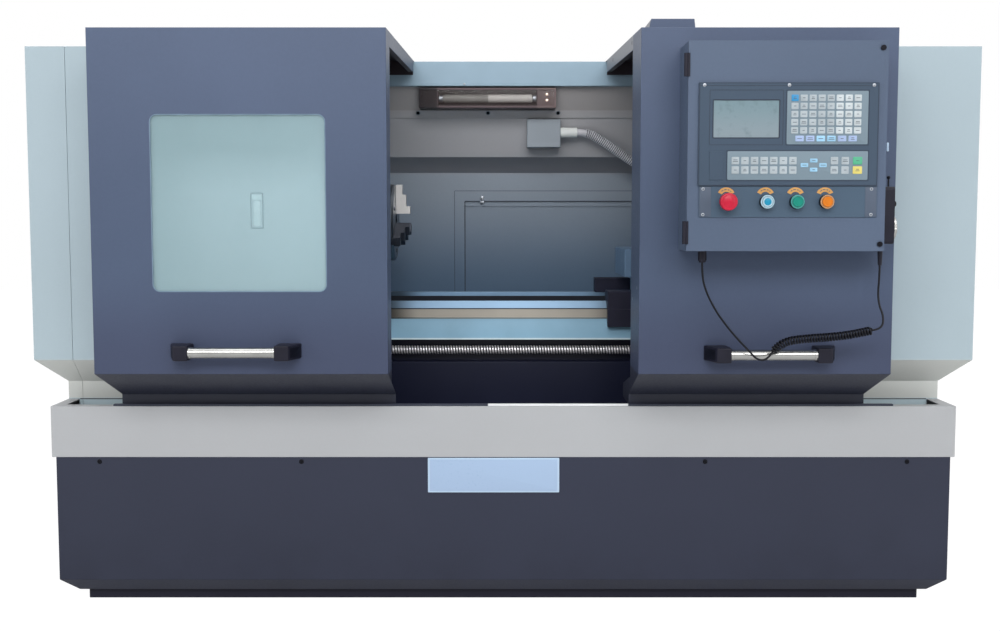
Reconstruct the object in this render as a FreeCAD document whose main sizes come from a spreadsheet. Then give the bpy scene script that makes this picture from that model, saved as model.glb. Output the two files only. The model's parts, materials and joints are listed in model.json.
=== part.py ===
import FreeCAD, Part
import math
import os
import re

import Sketcher

# A turning lathe with a flat bed, closed in by sheet covers and two sliding doors.
# Millimetres.  X runs along the spindle to the viewer's right, Y away from the operator and
# Z up.  The origin is on the floor, under the middle of the plinth.

Vector = FreeCAD.Vector

# ----------------------------------------------------------------------------------------
# Driving dimensions
# ----------------------------------------------------------------------------------------
SIZES = {
    # shared clearances and sheet
    "sheet": 2.5, "slide_gap": 0.3, "shaft_gap": 0.05, "hole_gap": 0.3, "seam": 0.5,
    # plinth and base cabinet
    "plinth_height": 30, "plinth_end_inset": 55, "plinth_front_inset": 58,
    "anchor_hole_radius": 9, "anchor_end_inset": 95, "anchor_side_inset": 90,
    "base_length": 2300, "base_depth": 1196, "base_height": 360, "base_bevel": 38,
    "base_sheet": 4, "base_screw_radius": 6, "base_screw_proud": 2, "base_screw_drop": 12,
    "base_screw_inset": 112,
    "blank_plate_length": 338, "blank_plate_height": 90, "blank_plate_thickness": 2,
    "blank_plate_middle": -25, "blank_plate_drop": 47,
    # chip tray and door rails
    "tray_end_lap": 10, "tray_front_lap": 2, "tray_height": 132, "tray_sheet": 3,
    "tray_rim": 30, "rail_end_inset": 160, "lower_rail_width": 11, "lower_rail_height": 5,
    "lower_rail_inset": 4, "upper_rail_width": 22, "upper_rail_sheet": 4,
    # fixed covers
    "cover_overhang": 62, "cover_inset": 57, "cover_height": 918, "cover_fold_top_rise": 112,
    "cover_fold_bottom_rise": 48, "skirt_front_inset": 120, "skirt_end_inset": 2,
    "end_cover_length": 102, "right_cover_length": 612, "chuck_hole_gap": 15,
    "bed_hole_gap": 6, "bar_hole_radius": 45, "apron_drop": 20,
    "catch_from_chuck": 214.5, "catch_rise": 500, "catch_width": 31, "catch_height": 90,
    # rear wall, hatch and lamp
    "fascia_from_rear": 470, "fascia_rise": 52, "fascia_drop": 26, "fascia_roof": 203,
    "lamp_panel_setback": 70, "lamp_panel_drop": 118, "band_setback": 128, "band_drop": 240,
    "wall_setback": 200, "wall_bend_drop": 289, "wall_sheet": 4, "hem_height": 22,
    "hem_proud": 5,
    "hatch_left_margin": 295, "hatch_right_margin": 90, "hatch_rise": 218,
    "hatch_height": 300, "hatch_lap": 10, "hatch_sheet": 2.5, "hatch_hinge_radius": 4,
    "hatch_hinge_end": 40, "frame_width": 34,
    "frame_proud": 4, "latch_inset": 58, "latch_rise": 25, "latch_width": 14,
    "latch_height": 22,
    "lamp_middle": -47, "lamp_length": 430, "lamp_drop": 6, "lamp_height": 62,
    "lamp_proud": 18, "lamp_cover_thickness": 4, "lamp_tube_radius": 13,
    "lamp_tube_inset": 60.5, "lamp_tube_depth": 19, "lamp_pocket_depth": 36,
    # junction boxes and ribbed conduit
    "terminal_middle": 132.5, "terminal_width": 107, "terminal_drop": 5,
    "terminal_height": 89, "terminal_setback": 50, "conduit_setback": 67,
    "conduit_radius": 14, "conduit_valley": 11.6, "conduit_bore": 9.5, "conduit_rib": 6.4,
    "conduit_plain_end": 28, "conduit_straight": 33.6,
    "connector_length": 54, "connector_radius": 16, "connector_drop": 41.5,
    "far_box_distance": 340, "far_box_width": 40, "far_box_drop": 165,
    "far_box_height": 60,
    # bed
    "bed_left_margin": 222, "bed_right_margin": 182, "bed_front_reach": 240,
    "bed_rear": 135, "bed_face_setback": 40, "way_foot_rise": 219, "way_apex_rise": 21,
    "way_half_width": 20, "flat_way_rise": 27, "flat_way_width": 40, "channel_shoulder": 20,
    "channel_depth": 41, "ground_face_height": 26, "lip_top_drop": 37, "lip_setback": 35,
    "lip_bottom_drop": 87, "screw_recess_depth": 50, "screw_recess_drop": 151,
    # ball screw and its drive
    "screw_setback": 25, "screw_drop": 119, "screw_radius": 12.5, "screw_start": 20,
    "bearing_length": 30, "bearing_width": 46, "feed_motor_radius": 52,
    "feed_motor_length": 80,
    # headstock, spindle and chuck
    "spindle_depth": -35, "spindle_rise": 247, "headstock_margin": 40,
    "headstock_length": 500, "headstock_front_reach": 155, "headstock_rear_reach": 160,
    "headstock_cap": 170, "spindle_radius": 60, "spindle_bore": 26,
    "spindle_tail": 140, "spindle_tail_step": 10, "pulley_radius": 90, "pulley_width": 80,
    "pulley_gap": 20, "nose_gap": 10, "nose_radius": 85, "nose_length": 43,
    "cover_wall_gap": 40, "chuck_radius": 115, "chuck_length": 85, "chuck_edge": 6,
    "jaw_width": 30, "jaw_key_width": 21, "jaw_key_depth": 11, "jaw_key_inset": 3,
    "jaw_end_inset": 1,
    "jaw_inner": 27, "jaw_step_low": 20, "jaw_step_middle": 31, "jaw_step_high": 43,
    "jaw_first_step": 84, "jaw_second_step": 49,
    # carriage
    "saddle_home_gap": 207, "saddle_length": 197, "saddle_rise": 89.7, "apron_proud": 22,
    "apron_thickness": 19, "nut_length": 80, "nut_width": 42, "saddle_overhang": 15,
    "way_clearance": 2,
    "wiper_length": 111, "front_wiper_length": 102, "wiper_rise": 72,
    "front_wiper_rise": 51, "front_wiper_setback": 27, "wiper_lap": 8, "wiper_drop": 51,
    "wiper_drop_setback": 21, "wiper_drop_thickness": 24, "short_wiper_length": 20,
    "cross_overhang": 50, "cross_length": 200, "cross_height": 81,
    "cross_front_reach": 160, "cross_rear_reach": 110, "cross_key_width": 70,
    "cross_key_height": 12,
    "post_inset": 125, "post_reach": 85, "post_width": 90, "post_cap": 12,
    "post_stud_radius": 12, "post_stud_proud": 9,
    "tool_width": 20, "tool_length": 120, "tool_reach": 42,
    # tailstock
    "tailstock_inset": 150, "tailstock_length": 220, "tailstock_width": 150,
    "tailstock_foot_reach": 17, "tailstock_foot_height": 60, "tailstock_waist_height": 90,
    "quill_radius": 30, "quill_reach": 100, "quill_cone": 45, "quill_cone_radius": 22.5,
    "quill_end_inset": 10,
    "feed_bore_length": 150, "feed_rod_gap": 20, "feed_rod_radius": 12,
    "handwheel_radius": 85, "handwheel_thickness": 18, "handwheel_gap": 14,
    "hub_wall": 12, "handle_grip_radius": 9, "handle_grip_length": 60,
    # sliding doors
    "door_overhang": 172, "door_bend_rise": 107, "door_skirt_inset": 23,
    "door_skirt_rise": 28, "door_roof_gap": 10, "door_roof_rise": 42, "door_rear_gap": 1,
    "left_door_stop": 17,
    "left_door_length": 706, "right_door_stop": 70,
    "left_door_return": 86, "right_door_return": 167, "roof_flange_height": 37,
    "roof_flange_lip": 15, "roof_flange_gap": 49, "gusset_width": 134,
    "gusset_rise": 78, "gusset_low_rise": 38,
    "window_inset": 145, "window_length": 416, "window_rise": 305,
    "window_height": 421, "window_corner": 18, "glass_lap": 20, "glass_thickness": 6,
    # handles
    "left_handle_inset": 342, "right_handle_inset": 313, "left_handle_rise": 164,
    "right_handle_rise": 159, "handle_length": 315, "handle_bar_length": 203,
    "handle_bar_radius": 13.5, "handle_standoff": 46, "handle_end_height": 36,
    "handle_end_depth": 62, "handle_end_slope": 22,
    # cable duct
    "duct_inset": 33.5, "duct_length": 122, "duct_front_inset": 152, "duct_depth": 406,
    "duct_height": 46, "duct_slope": 10,
    # control box and its door
    "box_inset": 92.5, "box_right_gap": 63, "box_rise": 406, "box_depth": 115,
    "box_door_sheet": 3, "hinge_radius": 4.7, "hinge_length": 52,
    "hinge_reach": 5.2, "upper_hinge_drop": 54, "lower_hinge_rise": 42, "hinge_leaf": 1.5,
    "hinge_leaf_reach": 4,
    "lock_radius": 6, "lock_shaft_radius": 4, "lock_proud": 4, "lock_cam_length": 6,
    "lock_cam_gap": 3, "lock_cam_thickness": 3, "lock_end_inset": 16,
    "upper_lock_inset": 12.5, "lower_lock_inset": 10.5,
    "unit_inset": 24, "unit_right_inset": 21, "unit_width": 406, "unit_rise": 148,
    "unit_height": 232, "unit_top_gap": 94,
    "unit_thickness": 6, "unit_body_inset": 20, "unit_body_depth": 64,
    "screen_inset": 33, "screen_width": 148, "screen_rise": 109, "screen_height": 83,
    "screen_recess": 3, "screen_thickness": 2,
    "keypad_right_inset": 24.5, "keypad_width": 183, "keypad_rise": 93.5,
    "keypad_height": 119.5, "keypad_proud": 0.8, "key_thickness": 1.4,
    "key_inset": 17.4, "key_pitch": 20.3, "key_row_pitch": 18.2, "key_top_rise": 103.9,
    "key_width": 16, "key_height": 14.5, "wide_key_inset": 28.9, "wide_key_pitch": 24,
    "wide_key_rise": 12.8, "wide_key_width": 19, "wide_key_height": 13,
    "panel_inset": 65.5, "panel_width": 317.5, "panel_rise": 13.5,
    "panel_height": 64.5, "panel_key_inset": 17.8, "panel_key_pitch": 21.7,
    "panel_key_rise": 43.1, "panel_key_drop": 21, "panel_key_size": 17,
    "arrow_inset": 195.1, "arrow_middle_rise": 33.2, "arrow_reach": 21, "arrow_rise": 10.3,
    "arrow_key_width": 17, "arrow_key_height": 9,
    "right_key_inset": 241.7, "right_key_pitch": 24.5, "start_key_inset": 294.2,
    "start_key_size": 21, "port_cover_inset": 25, "port_cover_width": 31,
    "port_cover_proud": 1.5,
    "switch_plate_inset": 27, "switch_plate_right_inset": 20, "switch_plate_rise": 77,
    "switch_plate_height": 70, "switch_plate_thickness": 3,
    "stop_inset": 63, "stop_radius": 20, "stop_stem_radius": 11, "stop_proud": 30,
    "stop_head": 16, "stop_round": 3,
    "first_button_inset": 152, "second_button_inset": 220, "third_button_inset": 287,
    "button_ring_radius": 15, "button_ring_proud": 18, "button_radius": 12,
    "button_proud": 20.5, "button_depth": 20,
    "panel_screw_radius": 4, "panel_screw_proud": 1.2, "panel_screw_inset": 12,
    "panel_screw_edge": 6,
    # hand pulse pendant
    "pendant_thickness": 25, "pendant_setback": 7, "pendant_width": 75,
    "pendant_rise": 16, "pendant_height": 131, "pendant_corner": 8,
    "dial_radius": 29, "dial_thickness": 10, "dial_rise": 36, "selector_radius": 7,
    "selector_length": 14, "selector_rise": 92, "hook_height": 22, "hook_thickness": 4,
    "relief_inset": 13, "relief_setback": 65, "relief_radius": 6.5, "relief_taper": 2,
    "relief_length": 51,
    # cord of the pendant
    "cord_radius": 2.4, "curl_radius": 8.1, "curl_pitch": 6.5,
    "plug_radius": 10, "plug_nose": 6, "plug_taper": 3,
}

# Places worked out from the driving dimensions.
PLACES = {
    # plinth, base and tray
    "plinth_length": "base_length - 2 * plinth_end_inset",
    "plinth_depth": "base_depth - 2 * plinth_front_inset",
    "anchor_long_spacing": "plinth_length - 2 * anchor_end_inset",
    "anchor_deep_spacing": "plinth_depth - 2 * anchor_side_inset",
    "base_bottom": "plinth_height",
    "base_top": "plinth_height + base_height",
    "base_front": "-base_depth / 2",
    "base_screw_pitch": "(base_length / 2 - base_screw_inset) / 2",
    "blank_plate_level": "base_top - blank_plate_drop",
    "tray_length": "base_length + 2 * tray_end_lap",
    "tray_depth": "base_depth + 2 * tray_front_lap",
    "tray_front": "-tray_depth / 2",
    "tray_top": "base_top + tray_height",
    "tray_floor": "base_top + tray_sheet",
    "rail_length": "tray_length - 2 * rail_end_inset",
    # fixed covers
    "cover_length": "tray_length + 2 * cover_overhang",
    "cover_depth": "tray_depth - 2 * cover_inset",
    "cover_front": "-cover_depth / 2",
    "cover_top": "tray_top + cover_height",
    "cover_fold_top": "tray_top + cover_fold_top_rise",
    "cover_fold_bottom": "tray_top + cover_fold_bottom_rise",
    "cover_skirt_front": "tray_depth / 2 - skirt_front_inset",
    "cover_skirt_end": "tray_length / 2 - skirt_end_inset",
    "seam_x": "-cover_length / 2 + end_cover_length",
    "right_cover_start": "cover_length / 2 - right_cover_length",
    # bed, ways and ball screw
    "bed_left": "-cover_length / 2 + bed_left_margin",
    "bed_right": "cover_length / 2 - bed_right_margin",
    "bed_panel_front": "-bed_front_reach",
    "bed_face_front": "bed_panel_front + bed_face_setback",
    "way_foot": "tray_top + way_foot_rise",
    "way_apex": "way_foot + way_apex_rise",
    "way_apex_depth": "bed_face_front + way_half_width",
    "near_way_foot": "way_apex_depth - way_half_width",
    "far_way_foot": "way_apex_depth + way_half_width",
    "flat_way_top": "way_foot + flat_way_rise",
    "flat_way_front": "bed_rear - flat_way_width",
    "channel_floor": "way_foot - channel_depth",
    "ground_face_bottom": "way_foot - ground_face_height",
    "lip_top": "way_foot - lip_top_drop",
    "lip_front": "bed_panel_front + lip_setback",
    "lip_bottom": "way_foot - lip_bottom_drop",
    "screw_recess_back": "bed_panel_front + screw_recess_depth",
    "screw_recess_bottom": "way_foot - screw_recess_drop",
    "screw_depth": "bed_panel_front + screw_setback",
    "screw_level": "way_foot - screw_drop",
    "screw_right": "bed_right + bearing_length",
    # headstock, spindle and chuck
    "spindle_level": "way_foot + spindle_rise",
    "headstock_left": "bed_left + headstock_margin",
    "headstock_right": "headstock_left + headstock_length",
    "headstock_cover_end": "headstock_right + cover_wall_gap",
    "screw_left": "headstock_right + screw_start",
    "chuck_back": "headstock_right + nose_gap + nose_length",
    "chuck_front": "chuck_back + chuck_length",
    "chuck_hole_radius": "chuck_radius + chuck_hole_gap",
    "jaw_outer": "chuck_radius - jaw_end_inset",
    "catch_middle": "headstock_cover_end - catch_from_chuck",
    "catch_level": "tray_top + catch_rise",
    # rear wall, hatch and lamp
    "fascia_plane": "tray_depth / 2 - fascia_from_rear",
    "fascia_top": "cover_top + fascia_rise",
    "fascia_bottom": "cover_top - fascia_drop",
    "lamp_panel_plane": "fascia_plane + lamp_panel_setback",
    "lamp_panel_bottom": "cover_top - lamp_panel_drop",
    "band_plane": "fascia_plane + band_setback",
    "band_bottom": "cover_top - band_drop",
    "wall_plane": "fascia_plane + wall_setback",
    "wall_bend": "cover_top - wall_bend_drop",
    "hatch_left": "headstock_cover_end + hatch_left_margin",
    "hatch_length": "right_cover_start - hatch_right_margin - hatch_left",
    "hatch_bottom": "tray_top + hatch_rise",
    "hatch_plane": "wall_plane + wall_sheet + slide_gap",
    "hatch_pin_depth": "hatch_plane + hatch_hinge_radius",
    "hatch_pin_level": "hatch_bottom - hatch_lap",
    "latch_middle": "hatch_left + latch_inset",
    "latch_level": "hatch_bottom + hatch_height + latch_rise",
    "lamp_front": "fascia_plane - lamp_proud",
    "lamp_top": "fascia_bottom - lamp_drop",
    "lamp_bottom": "lamp_top - lamp_height",
    "lamp_tube_length": "lamp_length - 2 * lamp_tube_inset",
    "lamp_slope": "(lamp_panel_plane - fascia_plane) / (fascia_bottom - lamp_panel_bottom)",
    "band_slope": "(band_plane - lamp_panel_plane) / (lamp_panel_bottom - band_bottom)",
    # junction boxes and conduit
    "terminal_front": "fascia_plane + terminal_setback",
    "terminal_top": "lamp_panel_bottom - terminal_drop",
    "terminal_bottom": "terminal_top - terminal_height",
    "terminal_right": "terminal_middle + terminal_width / 2",
    "connector_level": "terminal_top - connector_drop",
    "conduit_plane": "fascia_plane + conduit_setback",
    "conduit_start": "terminal_right + connector_length",
    "far_box_left": "conduit_start + far_box_distance",
    "far_box_level": "connector_level - far_box_drop",
    # carriage, cross slide and tailstock
    "saddle_left": "right_cover_start - saddle_home_gap",
    "saddle_right": "saddle_left + saddle_length",
    "saddle_top": "way_foot + saddle_rise",
    "saddle_rear": "bed_rear + saddle_overhang",
    "apron_front": "bed_panel_front - apron_proud",
    "wiper_top": "way_foot + wiper_rise",
    "front_wiper_top": "way_foot + front_wiper_rise",
    "wiper_bottom": "way_foot - wiper_drop",
    "cross_left": "saddle_left - cross_overhang",
    "cross_front": "spindle_depth - cross_front_reach",
    "cross_rear": "spindle_depth + cross_rear_reach",
    "post_middle": "cross_left + post_inset",
    "post_depth": "spindle_depth - post_reach",
    "tailstock_left": "right_cover_start + tailstock_inset",
    "tailstock_right": "tailstock_left + tailstock_length",
    "tailstock_front": "bed_face_front - tailstock_foot_reach",
    "quill_tip": "tailstock_left - quill_reach",
    # sliding doors and their handles
    "door_front": "tray_front - door_overhang",
    "door_top": "cover_top + door_roof_gap",
    "door_bend": "tray_top + door_bend_rise",
    "door_skirt_plane": "tray_front + door_skirt_inset",
    "door_skirt_top": "tray_top + door_skirt_rise",
    "door_rear": "fascia_plane - door_rear_gap",
    "fold_run": "door_skirt_plane - door_front",
    "fold_drop": "door_bend - door_skirt_top",
    "fold_shift": "sheet * (sqrt(fold_run ^ 2 + fold_drop ^ 2) - fold_drop) / fold_run",
    "left_door_left": "left_door_stop - rail_length / 2",
    "left_door_right": "left_door_left + left_door_length",
    "box_width": "unit_inset + unit_width + unit_right_inset",
    "box_height": "unit_rise + unit_height + unit_top_gap",
    "right_door_length": "box_inset + box_width + box_right_gap",
    "right_door_right": "rail_length / 2 - right_door_stop",
    "right_door_left": "right_door_right - right_door_length",
    "gusset_rear": "door_skirt_plane + gusset_width",
    "gusset_top": "tray_top + gusset_rise",
    "gusset_low": "tray_top + gusset_low_rise",
    "window_left": "left_door_left + window_inset",
    "window_bottom": "tray_top + window_rise",
    "left_handle_middle": "left_door_left + left_handle_inset",
    "right_handle_middle": "right_door_left + right_handle_inset",
    "left_handle_level": "tray_top + left_handle_rise",
    "right_handle_level": "tray_top + right_handle_rise",
    # cable duct and control box
    "duct_left": "right_door_left + duct_inset",
    "duct_front": "door_front + duct_front_inset",
    "duct_rear": "duct_front + duct_depth",
    "box_left": "right_door_left + box_inset",
    "box_right": "box_left + box_width",
    "box_bottom": "tray_top + box_rise",
    "box_top": "box_bottom + box_height",
    "box_front": "door_front - box_depth",
    "upper_hinge_level": "box_top - upper_hinge_drop",
    "lower_hinge_level": "box_bottom + lower_hinge_rise",
    "upper_lock_x": "box_right - upper_lock_inset",
    "upper_lock_level": "box_top - lock_end_inset",
    "lower_lock_x": "box_right - lower_lock_inset",
    "lower_lock_level": "box_bottom + lock_end_inset",
    # controller, its keys and the switches
    "unit_left": "box_left + unit_inset",
    "unit_bottom": "box_bottom + unit_rise",
    "unit_front": "box_front - unit_thickness",
    "screen_left": "unit_left + screen_inset",
    "screen_bottom": "unit_bottom + screen_rise",
    "keypad_left": "unit_left + unit_width - keypad_right_inset - keypad_width",
    "keypad_bottom": "unit_bottom + keypad_rise",
    "key_left": "keypad_left + key_inset",
    "key_top": "keypad_bottom + key_top_rise",
    "wide_key_left": "keypad_left + wide_key_inset",
    "wide_key_level": "keypad_bottom + wide_key_rise",
    "panel_left": "unit_left + panel_inset",
    "panel_bottom": "unit_bottom + panel_rise",
    "panel_key_left": "panel_left + panel_key_inset",
    "panel_key_top": "panel_bottom + panel_key_rise",
    "arrow_middle": "panel_left + arrow_inset",
    "arrow_level": "panel_bottom + arrow_middle_rise",
    "right_key_left": "panel_left + right_key_inset",
    "start_key_x": "panel_left + start_key_inset",
    "port_cover_left": "unit_left + port_cover_inset",
    "switch_plate_left": "box_left + switch_plate_inset",
    "switch_plate_width": "box_width - switch_plate_inset - switch_plate_right_inset",
    "switch_plate_bottom": "box_bottom + switch_plate_rise",
    "switch_level": "switch_plate_bottom + switch_plate_height / 2",
    "plate_front": "box_front - switch_plate_thickness",
    "stop_x": "switch_plate_left + stop_inset",
    "first_button_x": "switch_plate_left + first_button_inset",
    "second_button_x": "switch_plate_left + second_button_inset",
    "third_button_x": "switch_plate_left + third_button_inset",
    # pendant
    "pendant_front": "box_front + pendant_setback",
    "pendant_bottom": "box_bottom + pendant_rise",
    "pendant_right": "box_right + pendant_thickness",
    "pendant_middle": "pendant_front + pendant_width / 2",
    "dial_level": "pendant_bottom + dial_rise",
    "selector_level": "pendant_bottom + selector_rise",
    "relief_x": "box_right + relief_inset",
    "relief_depth": "box_front + relief_setback",
    "relief_bottom": "pendant_bottom - relief_length",
}

document = FreeCAD.newDocument("TurningLathe")


def make_sheet(name, cells):
    """One spreadsheet: column A holds the number or formula, and its alias is the word."""
    sheet = document.addObject("Spreadsheet::Sheet", name)
    for row, (word, content) in enumerate(cells.items(), start=1):
        sheet.set(f"A{row}", str(content))
        sheet.setAlias(f"A{row}", word)
    return sheet


def tied(expression):
    """Give every size and place named in an expression the name of its sheet."""
    def with_sheet(match):
        word = match.group(0)
        if word in SIZES:
            return "Sizes." + word
        if word in PLACES:
            return "Places." + word
        return word
    return re.sub(r"[a-z][a-z_]*", with_sheet, str(expression))


sizes_sheet = make_sheet("Sizes", SIZES)
document.recompute()
places_sheet = make_sheet("Places", {word: "=" + tied(rule) for word, rule in PLACES.items()})
document.recompute()


def number(word):
    """The value of one size or place, for shapes that are worked out in code."""
    sheet = sizes_sheet if word in SIZES else places_sheet
    return float(getattr(sheet, word))


# ----------------------------------------------------------------------------------------
# Ways of making a piece
# ----------------------------------------------------------------------------------------
nodes = {}
AXIS_TURNS = {
    "X": FreeCAD.Rotation(Vector(0, 1, 0), 90),
    "Y": FreeCAD.Rotation(Vector(1, 0, 0), -90),
    "Z": FreeCAD.Rotation(),
}


def bind(feature, **rules):
    for name, rule in rules.items():
        feature.setExpression(name.replace("__", "."), tied(rule))
    return feature


def place(feature, x="0", y="0", z="0"):
    return bind(feature, Placement__Base__x=x, Placement__Base__y=y, Placement__Base__z=z)


def box(name, x, y, z):
    """A block between two limits on each axis."""
    block = document.addObject("Part::Box", name)
    bind(block, Length=f"({x[1]}) - ({x[0]})", Width=f"({y[1]}) - ({y[0]})",
         Height=f"({z[1]}) - ({z[0]})")
    return place(block, x[0], y[0], z[0])


def rod(name, axis, radius, span, at):
    """A cylinder along an axis, from span[0] to span[1]; at holds its other two places."""
    cylinder = document.addObject("Part::Cylinder", name)
    cylinder.Placement = FreeCAD.Placement(Vector(), AXIS_TURNS[axis])
    bind(cylinder, Radius=radius, Height=f"({span[1]}) - ({span[0]})")
    where = {"X": (span[0], *at), "Y": (at[0], span[0], at[1]), "Z": (*at, span[0])}[axis]
    return place(cylinder, *where)


def origin_plane(body, role):
    return [item for item in body.Origin.OriginFeatures if item.Role == role][0]


def sketch_outline(body, name, plane, outline):
    """A closed outline of straight sides, each corner held at its own two places."""
    sketch = body.newObject("Sketcher::SketchObject", name)
    sketch.AttachmentSupport = [(origin_plane(body, plane), "")]
    sketch.MapMode = "FlatFace"
    corners = [(value_of(u), value_of(v)) for u, v in outline]
    count = len(corners)
    for index, (u, v) in enumerate(corners):
        u_next, v_next = corners[(index + 1) % count]
        sketch.addGeometry(Part.LineSegment(Vector(u, v, 0), Vector(u_next, v_next, 0)), False)
    for index in range(count):
        sketch.addConstraint(Sketcher.Constraint("Coincident", index, 2, (index + 1) % count, 1))
    for index, (u, v) in enumerate(corners):
        for direction, value, rule in (("DistanceX", u, outline[index][0]),
                                       ("DistanceY", v, outline[index][1])):
            held = sketch.addConstraint(
                Sketcher.Constraint(direction, -1, 1, index, 1, value))
            sketch.setExpression(f"Constraints[{held}]", tied(rule))
    return sketch


def value_of(rule):
    """The number that an expression gives now."""
    return float(sizes_sheet.evalExpression(tied(rule)))


def prism(name, plane, outline, span, corner_radius=None):
    """A straight-sided outline, padded across its plane between two places."""
    body = document.addObject("PartDesign::Body", name)
    sketch = sketch_outline(body, name + "_sketch", plane + "_Plane", outline)
    pad = body.newObject("PartDesign::Pad", name + "_pad")
    pad.Profile = sketch
    bind(pad, Length=f"({span[1]}) - ({span[0]})")
    shift = {"YZ": (span[0], "0", "0"), "XZ": ("0", span[1], "0"), "XY": ("0", "0", span[0])}
    place(body, *shift[plane])
    if corner_radius:
        document.recompute()
        along = {"YZ": Vector(1, 0, 0), "XZ": Vector(0, 1, 0), "XY": Vector(0, 0, 1)}[plane]
        edges = [f"Edge{i}" for i, edge in enumerate(pad.Shape.Edges, start=1)
                 if abs(edge.tangentAt(edge.FirstParameter).dot(along)) > 0.99]
        fillet = body.newObject("PartDesign::Fillet", name + "_fillet")
        fillet.Base = (pad, edges)
        bind(fillet, Radius=corner_radius)
    return body


def turned(name, axis, outline, at):
    """An outline of (place along the axis, radius) turned about the axis."""
    body = document.addObject("PartDesign::Body", name)
    plane = {"X": "XZ_Plane", "Y": "YZ_Plane", "Z": "XZ_Plane"}[axis]
    if axis == "Z":
        outline = [(radius, along) for along, radius in outline]
    sketch = sketch_outline(body, name + "_sketch", plane, outline)
    revolution = body.newObject("PartDesign::Revolution", name + "_turn")
    revolution.Profile = sketch
    revolution.ReferenceAxis = (sketch, ["V_Axis" if axis == "Z" else "H_Axis"])
    revolution.Angle = 360
    where = {"X": ("0", *at), "Y": (at[0], "0", at[1]), "Z": (*at, "0")}[axis]
    return place(body, *where)


def fuse(name, *pieces):
    joined = document.addObject("Part::MultiFuse", name)
    joined.Shapes = list(pieces)
    joined.Refine = True
    return joined


def cut(name, base, *tools):
    tool = tools[0] if len(tools) == 1 else fuse(name + "_tools", *tools)
    result = document.addObject("Part::Cut", name)
    result.Base = base
    result.Tool = tool
    return result


def common(name, first, second):
    result = document.addObject("Part::MultiCommon", name)
    result.Shapes = [first, second]
    return result


def group(name, *pieces):
    """Separate solids that make one node."""
    result = document.addObject("Part::Compound", name)
    result.Links = list(pieces)
    return result


def keep(node, feature):
    """Name a finished sub-part."""
    feature.Label = node
    nodes[node] = feature
    return feature


def plus(place_rule, amount):
    return f"({place_rule}) + ({amount})"


def about(middle, width):
    """The two limits of a width about its middle."""
    return (f"({middle}) - ({width}) / 2", f"({middle}) + ({width}) / 2")


def from_start(start, length):
    return (start, f"({start}) + ({length})")


# ----------------------------------------------------------------------------------------
# Plinth, base cabinet, chip tray and rails
# ----------------------------------------------------------------------------------------
def make_plinth():
    slab = box("plinth_slab", about(0, "plinth_length"), about(0, "plinth_depth"),
               ("0", "plinth_height"))
    holes = [rod(f"anchor_hole_{index}", "Z", "anchor_hole_radius", ("-1", "plinth_height + 1"),
                 (f"{side} * anchor_long_spacing / 2", f"{end} * anchor_deep_spacing / 2"))
             for index, (side, end) in enumerate(((-1, -1), (1, -1), (1, 1), (-1, 1)))]
    keep("plinth", cut("plinth_drilled", slab, *holes))


def bevelled_block(name, half_length, half_depth, bevel, span):
    """A block whose four bottom edges are bevelled, its bevels mitred at the corners."""
    bottom, top = span
    profiles = []
    for plane, half, reach in (("XZ", half_length, half_depth), ("YZ", half_depth, half_length)):
        outline = [(f"-({half})", plus(bottom, bevel)), (f"-({half}) + {bevel}", bottom),
                   (f"({half}) - {bevel}", bottom), (half, plus(bottom, bevel)),
                   (half, top), (f"-({half})", top)]
        profiles.append(prism(f"{name}_{plane}", plane, outline, (f"-({reach})", reach)))
    return common(name, *profiles)


def make_base():
    outside = bevelled_block("base_outside", "base_length / 2", "base_depth / 2", "base_bevel",
                             ("base_bottom", "base_top"))
    inside = bevelled_block("base_inside", "base_length / 2 - base_sheet",
                            "base_depth / 2 - base_sheet", "base_bevel",
                            ("base_bottom + base_sheet", "base_top - base_sheet"))
    keep("base_cabinet", cut("base_shell", outside, inside))

    screws = [rod(f"base_screw_{index}", "Y", "base_screw_radius",
                  ("base_front - base_screw_proud", "base_front"),
                  (f"{step} * base_screw_pitch", "base_top - base_screw_drop"))
              for index, step in enumerate((-2, -1, 1, 2))]
    plate = box("blank_plate", about("blank_plate_middle", "blank_plate_length"),
                ("base_front - blank_plate_thickness", "base_front"),
                about("blank_plate_level", "blank_plate_height"))
    keep("base_front_fittings", group("base_fittings", plate, *screws))


def roof_level(depth):
    """Height of the doors' roofs, which rise towards the rear, at a depth."""
    return f"door_top + ({depth} - door_front) * door_roof_rise / (door_rear - door_front)"


def make_tray():
    def slab(name, inset, low, high):
        return box(name, about(0, f"tray_length - 2 * ({inset})"),
                   about(0, f"tray_depth - 2 * ({inset})"), (low, high))
    outside = slab("tray_outside", "0", "base_top", "tray_top")
    hollow = slab("tray_hollow", "tray_sheet", "tray_floor", "tray_top - tray_sheet")
    mouth = slab("tray_mouth", "tray_rim", "tray_top - 2 * tray_sheet", "tray_top + 1")
    keep("chip_tray", cut("tray_pan", outside, hollow, mouth))

    lower = box("lower_rail", about(0, "rail_length"),
                from_start("tray_front + lower_rail_inset", "lower_rail_width"),
                from_start("tray_top", "lower_rail_height"))
    front = "fascia_plane - upper_rail_width"
    ends = {place: f"{roof_level(place)} - sheet - slide_gap" for place in (front, "fascia_plane")}
    lip = prism("rail_lip", "YZ", [
        (front, f"{ends[front]} - upper_rail_sheet"), (front, ends[front]),
        ("fascia_plane", ends["fascia_plane"]),
        ("fascia_plane", f"{ends['fascia_plane']} - upper_rail_sheet")], about(0, "rail_length"))
    web = (front, f"{front} + upper_rail_sheet")
    stand = box("rail_stand", about(0, "rail_length"), web, ("cover_top", ends[front]))
    apron = box("rail_apron", ("headstock_cover_end", "right_cover_start"), web,
                ("fascia_bottom", "cover_top + 1"))
    keep("door_rails", group("rails", lower, fuse("upper_rail", lip, stand, apron)))


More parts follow.
